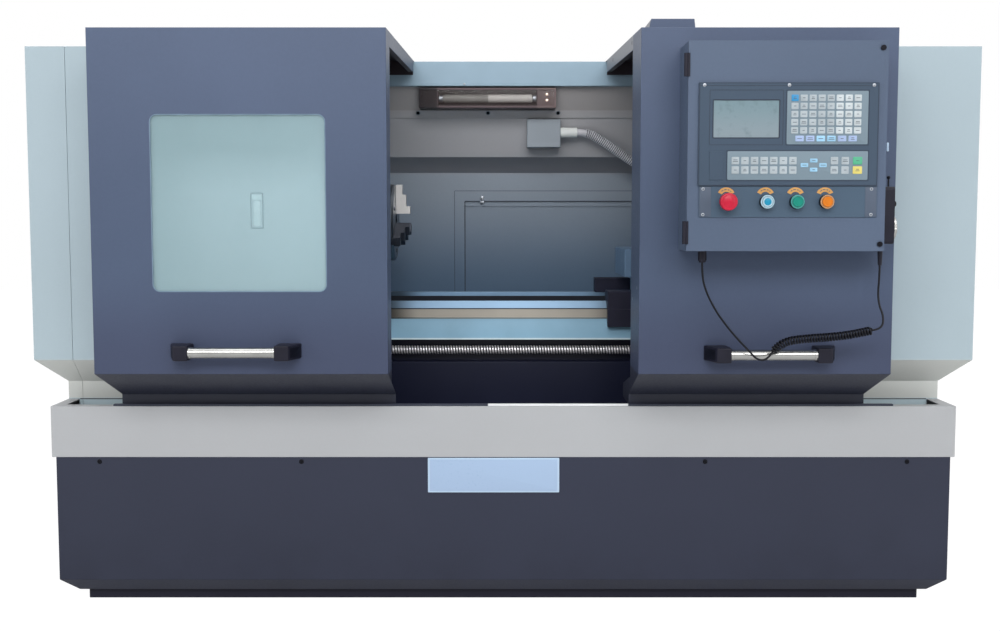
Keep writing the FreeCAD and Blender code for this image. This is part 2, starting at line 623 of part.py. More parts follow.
# ----------------------------------------------------------------------------------------
# Fixed covers
# ----------------------------------------------------------------------------------------
def cover_volume(name, inset, outer_end, outer_skirt, inner_end, side):
    """The space that a cover takes: straight sides, a fold inwards and a skirt below.

    side is -1 for a cover whose outer end is on the left and 1 for one on the right; a
    cover with no end of its own passes the same place for its outer end and its skirt.
    """
    top = f"cover_top - {inset}"
    front = f"cover_depth / 2 - {inset}"
    skirt = f"cover_skirt_front - {inset}"
    across = [(f"-({front})", "cover_fold_top"), (f"-({skirt})", "cover_fold_bottom"),
              (f"-({skirt})", "tray_top"), (skirt, "tray_top"), (skirt, "cover_fold_bottom"),
              (front, "cover_fold_top"), (front, top), (f"-({front})", top)]
    ends = (outer_end, inner_end) if side < 0 else (inner_end, outer_end)
    slab = prism(f"{name}_across", "YZ", across, ends)
    if outer_end == outer_skirt:
        return slab
    along = [(outer_end, "cover_fold_top"), (outer_skirt, "cover_fold_bottom"),
             (outer_skirt, "tray_top"), (inner_end, "tray_top"), (inner_end, top),
             (outer_end, top)]
    return common(name, slab, prism(f"{name}_along", "XZ", along,
                                    ("-cover_depth / 2", "cover_depth / 2")))


def cover_apron(name, x):
    """The strip of a cover's front skirt that hangs into the mouth of the tray."""
    return box(name, x, ("-cover_skirt_front", "-cover_skirt_front + sheet"),
               ("tray_top - apron_drop", "tray_top + 1"))


def make_covers():
    outside = cover_volume("left_cover_outside", "0", "-cover_length / 2",
                           "-cover_skirt_end", "seam_x - seam", -1)
    inside = cover_volume("left_cover_inside", "sheet", "-cover_length / 2 + sheet",
                          "-cover_skirt_end + sheet", "seam_x + 1", -1)
    bar_hole = rod("bar_hole", "X", "bar_hole_radius", ("-cover_length / 2 - 1", "seam_x"),
                   ("spindle_depth", "spindle_level"))
    mouth_end = "tray_length / 2 - tray_rim - slide_gap"
    keep("left_end_cover", fuse("left_cover_whole",
                                cut("left_cover_shell", outside, inside, bar_hole),
                                cover_apron("left_apron", (f"-({mouth_end})",
                                                           "seam_x - seam"))))

    outside = cover_volume("headstock_cover_outside", "0", "seam_x", "seam_x",
                           "headstock_cover_end", -1)
    inside = cover_volume("headstock_cover_inside", "sheet", "seam_x - 1", "seam_x - 1",
                          "headstock_cover_end - sheet", -1)
    chuck_hole = rod("chuck_hole", "X", "chuck_hole_radius",
                     ("headstock_cover_end - 10", "headstock_cover_end + 1"),
                     ("spindle_depth", "spindle_level"))
    bed_hole = box("bed_hole", ("headstock_cover_end - 10", "headstock_cover_end + 1"),
                   ("bed_panel_front - bed_hole_gap", "bed_rear + bed_hole_gap"),
                   ("tray_top - 1", "flat_way_top + bed_hole_gap"))
    shell = cut("headstock_cover_shell", outside, inside, chuck_hole, bed_hole)
    catch = box("cover_catch", about("catch_middle", "catch_width"),
                ("cover_front - sheet", "cover_front"), about("catch_level", "catch_height"))
    keep("headstock_cover", fuse("headstock_cover_whole", shell, catch, cover_apron(
        "headstock_apron", ("seam_x", "headstock_cover_end"))))

    outside = cover_volume("right_cover_outside", "0", "cover_length / 2", "cover_skirt_end",
                           "right_cover_start", 1)
    inside = cover_volume("right_cover_inside", "sheet", "cover_length / 2 - sheet",
                          "cover_skirt_end - sheet", "right_cover_start - 1", 1)
    keep("right_end_cover", fuse("right_cover_whole",
                                 cut("right_cover_shell", outside, inside),
                                 cover_apron("right_apron", ("right_cover_start",
                                                             mouth_end))))


# ----------------------------------------------------------------------------------------
# Rear wall, its hatch, the lamp, the junction boxes and the ribbed conduit
# ----------------------------------------------------------------------------------------
def make_rear_wall():
    front = [("fascia_plane + fascia_roof", "fascia_top"), ("fascia_plane", "fascia_top"),
             ("fascia_plane", "fascia_bottom"), ("lamp_panel_plane", "lamp_panel_bottom"),
             ("band_plane", "band_bottom"), ("wall_plane", "wall_bend"),
             ("wall_plane", "tray_floor")]
    behind = [(plus(depth, "wall_sheet"), level) for depth, level in front[:1:-1]]
    behind += [("fascia_plane + wall_sheet", "fascia_top - wall_sheet"),
               ("fascia_plane + fascia_roof", "fascia_top - wall_sheet")]
    wall = prism("wall_strip", "YZ", front + behind,
                 ("headstock_cover_end", "right_cover_start"))
    hems = [prism(f"{word}_hem", "YZ", [
        (f"{depth} - hem_proud", level), (plus(depth, "1"), level),
        (f"{depth} + 1 - hem_height * {slope}", plus(level, "hem_height")),
        (f"{depth} - hem_proud - hem_height * {slope}", plus(level, "hem_height"))],
        ("headstock_cover_end", "right_cover_start")) for word, depth, level, slope in (
            ("lamp_panel", "lamp_panel_plane", "lamp_panel_bottom", "lamp_slope"),
            ("band", "band_plane", "band_bottom", "band_slope"))]
    opening = box("hatch_opening", from_start("hatch_left", "hatch_length"),
                  ("wall_plane - 1", "wall_plane + wall_sheet + 1"),
                  from_start("hatch_bottom", "hatch_height"))
    lap = "frame_width / 2"
    frame_block = box("frame_block",
                      (f"hatch_left - {lap} - frame_width / 2",
                       f"hatch_left + hatch_length + {lap} + frame_width / 2"),
                      ("wall_plane - frame_proud", "wall_plane"),
                      (f"hatch_bottom - {lap} - frame_width / 2",
                       f"hatch_bottom + hatch_height + {lap} + frame_width"))
    frame_hole = box("frame_hole",
                     ("hatch_left", "hatch_left + hatch_length"),
                     ("wall_plane - frame_proud - 1", "wall_plane + 1"),
                     ("hatch_bottom", f"hatch_bottom + hatch_height + {lap}"))
    frame = cut("hatch_frame", frame_block, frame_hole)
    latch = box("hatch_catch", about("latch_middle", "latch_width"),
                ("wall_plane - 2 * frame_proud", "wall_plane - frame_proud"),
                about("latch_level", "latch_height"))
    hatch_ends = ("hatch_left - hatch_lap", "hatch_left + hatch_length + hatch_lap")
    pin = ("hatch_pin_depth", "hatch_pin_level")
    knuckles = []
    for word, end, inward in (("left", hatch_ends[0], 1), ("right", hatch_ends[1], -1)):
        near = f"{end} + {inward} * hatch_hinge_end"
        x = (end, near) if inward > 0 else (near, end)
        knuckles.append(rod(f"{word}_knuckle", "X", "hatch_hinge_radius", x, pin))
        knuckles.append(box(f"{word}_hinge_leaf", x,
                            ("wall_plane + wall_sheet", "hatch_pin_depth"),
                            ("hatch_pin_level - 4 * hatch_hinge_radius",
                             "hatch_pin_level - hatch_hinge_radius / 2")))
    keep("rear_wall", fuse("rear_wall_whole", cut("wall_holed", wall, opening), frame, latch,
                           *hems, *knuckles))

    middle = (f"{hatch_ends[0]} + hatch_hinge_end + slide_gap",
              f"{hatch_ends[1]} - hatch_hinge_end - slide_gap")
    plate = box("hatch_plate", hatch_ends, from_start("hatch_plane", "hatch_sheet"),
                ("hatch_pin_level + hatch_hinge_radius + slide_gap",
                 "hatch_bottom + hatch_height + hatch_lap"))
    foot = box("hatch_foot", middle, from_start("hatch_plane", "hatch_sheet"),
               ("hatch_pin_level", "hatch_pin_level + 2 * hatch_hinge_radius"))
    keep("rear_hatch", fuse("hatch_whole", plate, foot,
                            rod("hatch_knuckle", "X", "hatch_hinge_radius", middle, pin)))


def on_slope(name, x, front, top, bottom, slope, start, high):
    """A block whose back lies against a sloping panel that starts at one depth and height."""
    outline = [(front, top), (front, bottom),
               (f"{start} + ({high} - ({bottom})) * {slope}", bottom),
               (f"{start} + ({high} - ({top})) * {slope}", top)]
    return prism(name, "YZ", outline, x)


def make_lamp():
    length = about("lamp_middle", "lamp_length")
    block = on_slope("lamp_block", length, "lamp_front", "lamp_top", "lamp_bottom",
                     "lamp_slope", "fascia_plane", "fascia_bottom")
    rim = "lamp_cover_thickness"
    pocket = box("lamp_pocket", about("lamp_middle", "lamp_tube_length + 2 * slide_gap"),
                 ("lamp_front - 1", "lamp_front + lamp_pocket_depth"),
                 (plus("lamp_bottom", rim), f"lamp_top - {rim}"))
    keep("lamp_housing", cut("lamp_hollow", block, pocket))
    keep("lamp_cover", box("lamp_window", length,
                           ("lamp_front - lamp_cover_thickness", "lamp_front"),
                           ("lamp_bottom", "lamp_top")))
    keep("lamp_tube", rod("lamp_glass", "X", "lamp_tube_radius",
                          about("lamp_middle", "lamp_tube_length"),
                          ("lamp_front + lamp_tube_depth", "(lamp_top + lamp_bottom) / 2")))


def make_junction_boxes():
    body = on_slope("junction_body", about("terminal_middle", "terminal_width"),
                    "terminal_front", "terminal_top", "terminal_bottom", "band_slope",
                    "lamp_panel_plane", "lamp_panel_bottom")
    connector = rod("junction_connector", "X", "connector_radius",
                    ("terminal_right", "conduit_start"), ("conduit_plane", "connector_level"))
    far_box = box("far_junction_body", from_start("far_box_left", "far_box_width"),
                  ("conduit_plane - far_box_height / 2", "wall_plane"),
                  about("far_box_level", "far_box_height"))
    keep("junction_boxes", group("junction_pieces", body, connector, far_box))


def rounded_route(points, radius_share=0.45):
    """Straight runs through the points, joined by tangent arcs, as one list of edges."""
    edges = []
    radii = []
    last = points[0]
    for before, corner, after in zip(points, points[1:], points[2:]):
        incoming = (corner - before).normalize()
        outgoing = (after - corner).normalize()
        half_turn = incoming.getAngle(outgoing) / 2
        shorter = min((corner - before).Length, (after - corner).Length)
        setback = radius_share * shorter
        radii.append(setback / math.tan(half_turn))
        start = corner - incoming * setback
        end = corner + outgoing * setback
        inward = (outgoing - incoming).normalize()
        middle = corner + inward * (radii[-1] / math.cos(half_turn) - radii[-1])
        edges.append(Part.LineSegment(last, start).toShape())
        edges.append(Part.Arc(start, middle, end).toShape())
        last = end
    edges.append(Part.LineSegment(last, points[-1]).toShape())
    return edges, radii


class Route:
    """A place and a direction at any length along a list of edges."""

    def __init__(self, edges):
        self.edges = edges
        self.length = sum(edge.Length for edge in edges)

    def at(self, distance):
        left = min(max(distance, 0.0), self.length)
        for edge in self.edges:
            if left <= edge.Length or edge is self.edges[-1]:
                parameter = edge.getParameterByLength(min(left, edge.Length))
                return edge.valueAt(parameter), edge.tangentAt(parameter)
            left -= edge.Length


CONDUIT_POINTS = [  # (along X, down) from the connector, in the plane of the conduit
    (72, 22), (120, 54), (175, 91), (225, 124), (268, 150),
]


def make_conduit():
    start = Vector(number("conduit_start"), number("conduit_plane"), number("connector_level"))
    end = start + Vector(number("far_box_distance"), 0, -number("far_box_drop"))
    straight = Vector(number("conduit_straight"), 0, 0)
    bends = [start + Vector(along, 0, -down) for along, down in CONDUIT_POINTS]
    points = [start, start + straight, *bends, end - straight, end]
    edges, radii = rounded_route(points)
    print("conduit radii", [round(radius, 1) for radius in radii])
    route = Route(edges)
    plain_end = number("conduit_plain_end")
    ribs = int((route.length - 2 * plain_end) / number("conduit_rib"))
    rib = (route.length - 2 * plain_end) / ribs

    def circle(distance, radius):
        centre, tangent = route.at(distance)
        ring = Part.Circle(centre, tangent, radius)
        ring.XAxis = Vector(0, 1, 0)
        return Part.Wire([ring.toShape()])

    outer, valley = number("conduit_radius"), number("conduit_valley")
    sections = [circle(0, valley), circle(plain_end, valley)]
    for index in range(ribs):
        start = plain_end + index * rib
        sections += [circle(start + 0.15 * rib, valley), circle(start + 0.30 * rib, outer),
                     circle(start + 0.70 * rib, outer), circle(start + 0.85 * rib, valley)]
    sections += [circle(route.length - plain_end, valley), circle(route.length, valley)]
    skin = Part.makeLoft(sections, True, True)
    bore_sections = [circle(route.length * step / 60, number("conduit_bore"))
                     for step in range(61)]
    bore = Part.makeLoft(bore_sections, True, True)
    hose = document.addObject("Part::Feature", "conduit_hose")
    hose.Shape = skin.cut(bore)
    keep("conduit_hose", hose)
    print("conduit length", round(route.length, 1), "ribs", ribs)


# ----------------------------------------------------------------------------------------
# Bed, ball screw, headstock, spindle and chuck
# ----------------------------------------------------------------------------------------
def make_bed():
    outline = [
        ("bed_panel_front", "tray_floor"), ("bed_panel_front", "screw_recess_bottom"),
        ("screw_recess_back", "screw_recess_bottom"), ("screw_recess_back", "lip_bottom"),
        ("bed_panel_front", "lip_bottom"), ("lip_front", "lip_top"),
        ("lip_front", "ground_face_bottom"), ("bed_face_front", "ground_face_bottom"),
        ("near_way_foot", "way_foot"), ("way_apex_depth", "way_apex"),
        ("far_way_foot", "way_foot"), ("far_way_foot + channel_shoulder", "way_foot"),
        ("far_way_foot + channel_shoulder", "channel_floor"),
        ("flat_way_front", "channel_floor"), ("flat_way_front", "flat_way_top"),
        ("bed_rear", "flat_way_top"), ("bed_rear", "tray_floor"),
    ]
    keep("bed", prism("bed_casting", "YZ", outline, ("bed_left", "bed_right")))


def make_feed_drive():
    axis = ("screw_depth", "screw_level")
    keep("ball_screw", rod("screw_shaft", "X", "screw_radius", ("screw_left", "screw_right"),
                           axis))

    def bearing(name, x, height):
        block = box(name + "_block", x, about("screw_depth", "bearing_width"),
                    about("screw_level", height))
        bore = rod(name + "_bore", "X", "screw_radius + shaft_gap",
                   (f"{x[0]} - 1", f"{x[1]} + 1"), axis)
        return cut(name, block, bore)
    left = bearing("left_bearing", ("screw_left", "screw_left + bearing_length"),
                   "bearing_width")
    right = bearing("right_bearing", ("bed_right", "screw_right"), "2 * feed_motor_radius")
    motor = rod("feed_motor", "X", "feed_motor_radius",
                ("screw_right + slide_gap", "screw_right + feed_motor_length"), axis)
    keep("feed_drive", group("feed_drive_pieces", left, right, motor))


def make_headstock():
    axis = ("spindle_depth", "spindle_level")
    casting = box("headstock_block", ("headstock_left", "headstock_right"),
                  ("spindle_depth - headstock_front_reach",
                   "spindle_depth + headstock_rear_reach"),
                  ("flat_way_top", "spindle_level + headstock_cap"))
    bore = rod("spindle_housing", "X", "spindle_radius + shaft_gap",
               ("headstock_left - 1", "headstock_right + 1"), axis)
    keep("headstock", cut("headstock_bored", casting, bore))

    tail = "headstock_left - spindle_tail"
    pulley_right = "headstock_left - pulley_gap"
    outline = [
        (tail, "spindle_bore"), (tail, "spindle_radius - spindle_tail_step"),
        (f"{pulley_right} - pulley_width", "spindle_radius - spindle_tail_step"),
        (f"{pulley_right} - pulley_width", "pulley_radius"), (pulley_right, "pulley_radius"),
        (pulley_right, "spindle_radius"), ("headstock_right + nose_gap", "spindle_radius"),
        ("headstock_right + nose_gap", "nose_radius"), ("chuck_back", "nose_radius"),
        ("chuck_back", "spindle_bore"),
    ]
    keep("spindle", turned("spindle_shaft", "X", outline, axis))


def jaw_turn(index):
    """The first jaw points up, the second towards the operator and down."""
    return FreeCAD.Rotation(Vector(1, 0, 0), 120 * index)


def placed_on_spindle(feature, name, index):
    """Turn a piece that is modelled on the X axis, pointing up, to its place on the chuck."""
    moved = document.addObject("Part::Compound", name)
    moved.Links = [feature]
    moved.Placement = FreeCAD.Placement(Vector(), jaw_turn(index))
    place(moved, "0", "spindle_depth", "spindle_level")
    return moved


def make_chuck():
    outline = [
        ("chuck_back", "spindle_bore"), ("chuck_back", "chuck_radius - chuck_edge"),
        ("chuck_back + chuck_edge", "chuck_radius"),
        ("chuck_front - chuck_edge", "chuck_radius"),
        ("chuck_front", "chuck_radius - chuck_edge"), ("chuck_front", "spindle_bore"),
    ]
    drum = turned("chuck_drum", "X", outline, ("spindle_depth", "spindle_level"))
    slots = []
    for index in range(3):
        slot = box(f"jaw_slot_{index + 1}",
                   ("chuck_front - jaw_key_depth - slide_gap", "chuck_front + 1"),
                   about(0, "jaw_key_width + 2 * slide_gap"), ("0", "chuck_radius + 1"))
        slots.append(placed_on_spindle(slot, f"jaw_slot_place_{index + 1}", index))
    keep("chuck_body", cut("chuck_slotted", drum, *slots))

    for index in range(3):
        start = "chuck_front + slide_gap"
        profile = [
            (start, "jaw_inner"), (plus("chuck_front", "jaw_step_high"), "jaw_inner"),
            (plus("chuck_front", "jaw_step_high"), "jaw_second_step"),
            (plus("chuck_front", "jaw_step_middle"), "jaw_second_step"),
            (plus("chuck_front", "jaw_step_middle"), "jaw_first_step"),
            (plus("chuck_front", "jaw_step_low"), "jaw_first_step"),
            (plus("chuck_front", "jaw_step_low"), "jaw_outer"), (start, "jaw_outer"),
        ]
        stepped = prism(f"jaw_steps_{index + 1}", "XZ", profile, about(0, "jaw_width"))
        key = box(f"jaw_key_{index + 1}", ("chuck_front - jaw_key_depth", start),
                  about(0, "jaw_key_width"), ("jaw_inner", "jaw_outer - jaw_key_inset"))
        jaw = fuse(f"jaw_whole_{index + 1}", stepped, key)
        keep(f"jaw_{index + 1}", placed_on_spindle(jaw, f"jaw_place_{index + 1}", index))


# ----------------------------------------------------------------------------------------
# Carriage, cross slide, tool post and tailstock
# ----------------------------------------------------------------------------------------
def way_underside(front, rear):
    """The underside that rides on the two ways, from front to rear, clear by a slide gap."""
    level = "way_foot + slide_gap"
    step = "flat_way_front - way_clearance"
    return [(front, level), ("near_way_foot", level), ("way_apex_depth", "way_apex + slide_gap"),
            ("far_way_foot", level), (step, level), (step, "flat_way_top + slide_gap"),
            (rear, "flat_way_top + slide_gap")]


def make_carriage():
    apron_back = "apron_front + apron_thickness"
    outline = [("apron_front", "saddle_top"), ("apron_front", "screw_level - nut_width / 2"),
               (apron_back, "screw_level - nut_width / 2")]
    outline += way_underside(apron_back, "saddle_rear") + [("saddle_rear", "saddle_top")]
    plate = prism("saddle_plate", "YZ", outline, ("saddle_left", "saddle_right"))
    middle = "(saddle_left + saddle_right) / 2"
    nut = box("feed_nut", about(middle, "nut_length"),
              (apron_back, "screw_depth + nut_width / 2"), about("screw_level", "nut_width"))
    bore = rod("nut_bore", "X", "screw_radius + shaft_gap",
               (f"{middle} - nut_length", f"{middle} + nut_length"),
               ("screw_depth", "screw_level"))
    key = box("saddle_key", about("cross_left + cross_length / 2", "cross_key_width"),
              ("cross_front", "cross_rear"),
              ("saddle_top", "saddle_top + cross_key_height"))
    saddle = cut("saddle_bored", fuse("saddle_joined", plate, nut, key), bore)
    keep("saddle", saddle)

    def wiper_pair(name, ends):
        rear = box(name + "_rear", ends["rear"],
                   ("flat_way_front - way_clearance", "saddle_rear"),
                   ("flat_way_top + slide_gap", "wiper_top"))
        level = "way_foot + slide_gap"
        nose = "apron_front + front_wiper_setback"
        tail = "far_way_foot + wiper_lap"
        front_outline = [(nose, "front_wiper_top"), (nose, level), ("near_way_foot", level),
                         ("way_apex_depth", "way_apex + slide_gap"), ("far_way_foot", level),
                         (tail, level), (tail, "front_wiper_top")]
        front = prism(name + "_front", "YZ", front_outline, ends["front"])
        drop = box(name + "_drop", ends["front"],
                   from_start("apron_front + wiper_drop_setback", "wiper_drop_thickness"),
                   ("wiper_bottom", level))
        return [rear, fuse(name + "_corner", front, drop)]
    left = wiper_pair("left_wiper", {
        "rear": ("saddle_left - wiper_length", "saddle_left"),
        "front": ("saddle_left - front_wiper_length", "saddle_left")})
    right_span = ("saddle_right", "saddle_right + short_wiper_length")
    right = wiper_pair("right_wiper", {"rear": right_span, "front": right_span})
    keep("way_wipers", group("wiper_pieces", *left, *right))


def make_cross_slide():
    floor = "saddle_top + slide_gap"
    block = box("cross_block", from_start("cross_left", "cross_length"),
                ("cross_front", "cross_rear"), from_start(floor, "cross_height"))
    groove = box("cross_groove",
                 about("cross_left + cross_length / 2", "cross_key_width + 2 * slide_gap"),
                 ("cross_front - 1", "cross_rear + 1"),
                 (f"{floor} - 1", "saddle_top + cross_key_height + slide_gap"))
    seat = f"{floor} + cross_height"
    stud_place = ("post_middle", "post_depth")
    stud = rod("post_stud", "Z", "post_stud_radius",
               (f"{seat} - 1", "spindle_level + post_cap + post_stud_proud"), stud_place)
    keep("cross_slide", fuse("cross_whole", cut("cross_grooved", block, groove), stud))

    post_block = box("post_block", about("post_middle", "post_width"),
                     about("post_depth", "post_width"),
                     (f"{seat} + slide_gap", "spindle_level + post_cap"))
    post_bore = rod("post_bore", "Z", "post_stud_radius + shaft_gap",
                    (seat, "spindle_level + post_cap + 1"), stud_place)
    post = cut("post_bored", post_block, post_bore)
    slot_low = "spindle_level - tool_width"
    slot = box("tool_slot", ("post_middle - post_width / 2 - 1",
                             "post_middle + post_width / 2 + 1"),
               from_start("post_depth + post_width / 2 - tool_width", "tool_width + 1"),
               (slot_low, "spindle_level + slide_gap"))
    tool = box("turning_tool", from_start("post_middle - post_width / 2 - tool_reach",
                                          "tool_length"),
               from_start("post_depth + post_width / 2 - tool_width", "tool_width"),
               (slot_low, "spindle_level"))
    keep("tool_post", group("tool_post_pieces", cut("post_slotted", post, slot), tool))


def make_tailstock():
    axis = ("spindle_depth", "spindle_level")
    half = "tailstock_width / 2"
    foot = "way_foot + tailstock_foot_height"
    waist = "way_foot + tailstock_waist_height"
    outline = [("tailstock_front", foot)] + way_underside("tailstock_front", "bed_rear") + [
        ("bed_rear", foot), (f"spindle_depth + {half}", waist),
        (f"spindle_depth + {half}", f"spindle_level + {half}"),
        (f"spindle_depth - {half}", f"spindle_level + {half}"),
        (f"spindle_depth - {half}", waist)]
    casting = prism("tailstock_block", "YZ", outline, ("tailstock_left", "tailstock_right"))
    bore = rod("quill_bore", "X", "quill_radius + shaft_gap",
               ("tailstock_left - 1", "tailstock_right + 1"), axis)
    keep("tailstock_body", cut("tailstock_bored", casting, bore))

    bar_end = "tailstock_right - quill_end_inset"
    bore_end = f"{bar_end} - feed_bore_length"
    rod_bore = "feed_rod_radius + shaft_gap"
    quill = turned("quill_bar", "X", [
        ("quill_tip", "0"), ("quill_tip + quill_cone", "quill_cone_radius"),
        ("quill_tip + quill_cone", "quill_radius"), (bar_end, "quill_radius"),
        (bar_end, rod_bore), (bore_end, rod_bore), (bore_end, "0")], axis)
    keep("tailstock_quill", quill)

    wheel_left = "tailstock_right + handwheel_gap"
    wheel_right = f"{wheel_left} + handwheel_thickness"
    wheel = turned("handwheel_disc", "X", [
        (f"{bore_end} + feed_rod_gap", "0"), (f"{bore_end} + feed_rod_gap", "feed_rod_radius"),
        ("tailstock_right + slide_gap", "feed_rod_radius"),
        ("tailstock_right + slide_gap", "quill_radius + hub_wall"),
        (wheel_left, "quill_radius + hub_wall"), (wheel_left, "handwheel_radius"),
        (wheel_right, "handwheel_radius"), (wheel_right, "0")], axis)
    grip = rod("handwheel_grip", "X", "handle_grip_radius",
               (wheel_right, f"{wheel_right} + handle_grip_length"),
               ("spindle_depth", "spindle_level + handwheel_radius - 2 * handle_grip_radius"))
    keep("tailstock_handwheel", fuse("handwheel", wheel, grip))


# ----------------------------------------------------------------------------------------
# Sliding doors, their handles and the cable duct
# ----------------------------------------------------------------------------------------
def door_strip(name, span):
    """Roof, front, fold and skirt of a door, folded from one sheet."""
    skirt_foot = "tray_top + slide_gap"
    rear_top = "door_top + door_roof_rise"
    outside = [("door_rear", rear_top), ("door_front", "door_top"),
               ("door_front", "door_bend"), ("door_skirt_plane", "door_skirt_top"),
               ("door_skirt_plane", skirt_foot)]
    inside = [("door_skirt_plane + sheet", skirt_foot),
              ("door_skirt_plane + sheet", "door_skirt_top + fold_shift"),
              ("door_front + sheet", "door_bend + fold_shift"),
              ("door_front + sheet", "door_top - sheet"), ("door_rear", f"{rear_top} - sheet")]
    return prism(name, "YZ", outside + inside, span)


def side_plate(name, span, depth):
    """A door's side wall: it follows the fold below and ends at a depth from the front."""
    back = plus("door_front", depth)
    low = f"door_bend - ({depth}) * fold_drop / fold_run"
    return prism(name, "YZ", [("door_front", "door_top"), ("door_front", "door_bend"),
                              (back, low), (back, roof_level(back))], span)


def roof_flange(name, edge, inward, depth):
    """The side flange of a door's roof, with a lip turned in along its foot."""
    ends = (plus("door_front", f"{depth} - sheet"), "door_rear - roof_flange_gap")
    foot = {place: f"{roof_level(place)} - roof_flange_height" for place in ends}

    def strip(part, height, span):
        front, rear = ends
        return prism(f"{name}_{part}", "YZ", [
            (front, foot[front]), (rear, foot[rear]), (rear, f"{foot[rear]} + {height}"),
            (front, f"{foot[front]} + {height}")], span)

    def span(width):
        return (edge, f"{edge} + {width}") if inward > 0 else (f"{edge} - {width}", edge)
    return [strip("side", "roof_flange_height - sheet / 2", span("sheet")),
            strip("lip", "sheet", span("roof_flange_lip"))]


def make_doors():
    left_edge = ("left_door_left", "left_door_left + sheet")
    inner_edge = ("left_door_right - sheet", "left_door_right")
    strip = door_strip("left_strip", ("left_door_left", "left_door_right"))
    window = prism("window_hole", "XZ", [
        ("window_left", "window_bottom"), ("window_left + window_length", "window_bottom"),
        ("window_left + window_length", "window_bottom + window_height"),
        ("window_left", "window_bottom + window_height")],
        ("door_front - 1", "door_front + sheet + 1"), "window_corner")
    keep("left_door_panel", fuse(
        "left_door_whole", cut("left_strip_holed", strip, window),
        side_plate("left_outer_side", left_edge, "fold_run"),
        side_plate("left_inner_side", inner_edge, "left_door_return"),
        *roof_flange("left_roof_flange", "left_door_right", -1, "left_door_return")))
    keep("left_door_glass", box(
        "window_glass", ("window_left - glass_lap", "window_left + window_length + glass_lap"),
        from_start("door_front + sheet", "glass_thickness"),
        ("window_bottom - glass_lap", "window_bottom + window_height + glass_lap")))

    right_edge = ("right_door_right - sheet", "right_door_right")
    inner_edge = ("right_door_left", "right_door_left + sheet")
    gusset = prism("right_gusset", "YZ", [
        ("door_front + right_door_return", "gusset_top"), ("gusset_rear", "gusset_low"),
        ("gusset_rear", "tray_top + slide_gap"), ("door_skirt_plane", "tray_top + slide_gap"),
        ("door_skirt_plane", "door_skirt_top"),
        ("door_front + right_door_return",
         "door_bend - right_door_return * fold_drop / fold_run")], inner_edge)
    keep("right_door_panel", fuse(
        "right_door_whole", door_strip("right_strip", ("right_door_left", "right_door_right")),
        side_plate("right_outer_side", right_edge, "fold_run"),
        side_plate("right_inner_side", inner_edge, "right_door_return"),
        *roof_flange("right_roof_flange", "right_door_left", 1, "right_door_return"), gusset))


def make_handle(side):
    middle, level = f"{side}_handle_middle", f"{side}_handle_level"
    axis = ("door_front - handle_standoff", level)
    inner = "handle_bar_length / 2"
    keep(f"{side}_handle_bar", rod(f"{side}_bar", "X", "handle_bar_radius",
                                   (f"{middle} - {inner}", f"{middle} + {inner}"), axis))
    ends = []
    for word, sign in (("left", -1), ("right", 1)):
        near = f"{middle} + {sign} * {inner}"
        far = f"{middle} + {sign} * handle_length / 2"
        outline = [(near, "door_front"), (near, "door_front - handle_end_depth"),
                   (f"{far} - {sign} * handle_end_slope", "door_front - handle_end_depth"),
                   (far, "door_front")]
        block = prism(f"{side}_{word}_bracket", "XY", outline,
                      about(level, "handle_end_height"))
        ends.append(block)
    keep(f"{side}_handle_ends", group(f"{side}_brackets", *ends))


def make_duct():
    ridge = "door_top + duct_height"
    right = "duct_left + duct_length"
    outline = [("duct_left", "door_top"), ("duct_left + duct_slope", ridge),
               (f"{right} - duct_slope / 2", ridge), (right, "door_top")]
    solid = prism("duct_solid", "XZ", outline, ("duct_front", "duct_rear"))
    hollow = prism("duct_hollow", "XZ", [
        ("duct_left + 2 * sheet", "door_top - 1"),
        ("duct_left + duct_slope + sheet", f"{ridge} - sheet"),
        (f"{right} - duct_slope / 2 - sheet", f"{ridge} - sheet"),
        (f"{right} - 2 * sheet", "door_top - 1")], ("duct_front + sheet", "duct_rear - sheet"))
    ends = ("duct_front - 1", "duct_rear + 1")
    under_roof = prism("under_roof", "YZ", [
        (ends[0], "door_top - 2"), (ends[0], roof_level(ends[0])),
        (ends[1], roof_level(ends[1])), (ends[1], "door_top - 2")],
        ("duct_left - 1", f"{right} + 1"))
    keep("cable_duct", cut("duct_shell", solid, hollow, under_roof))


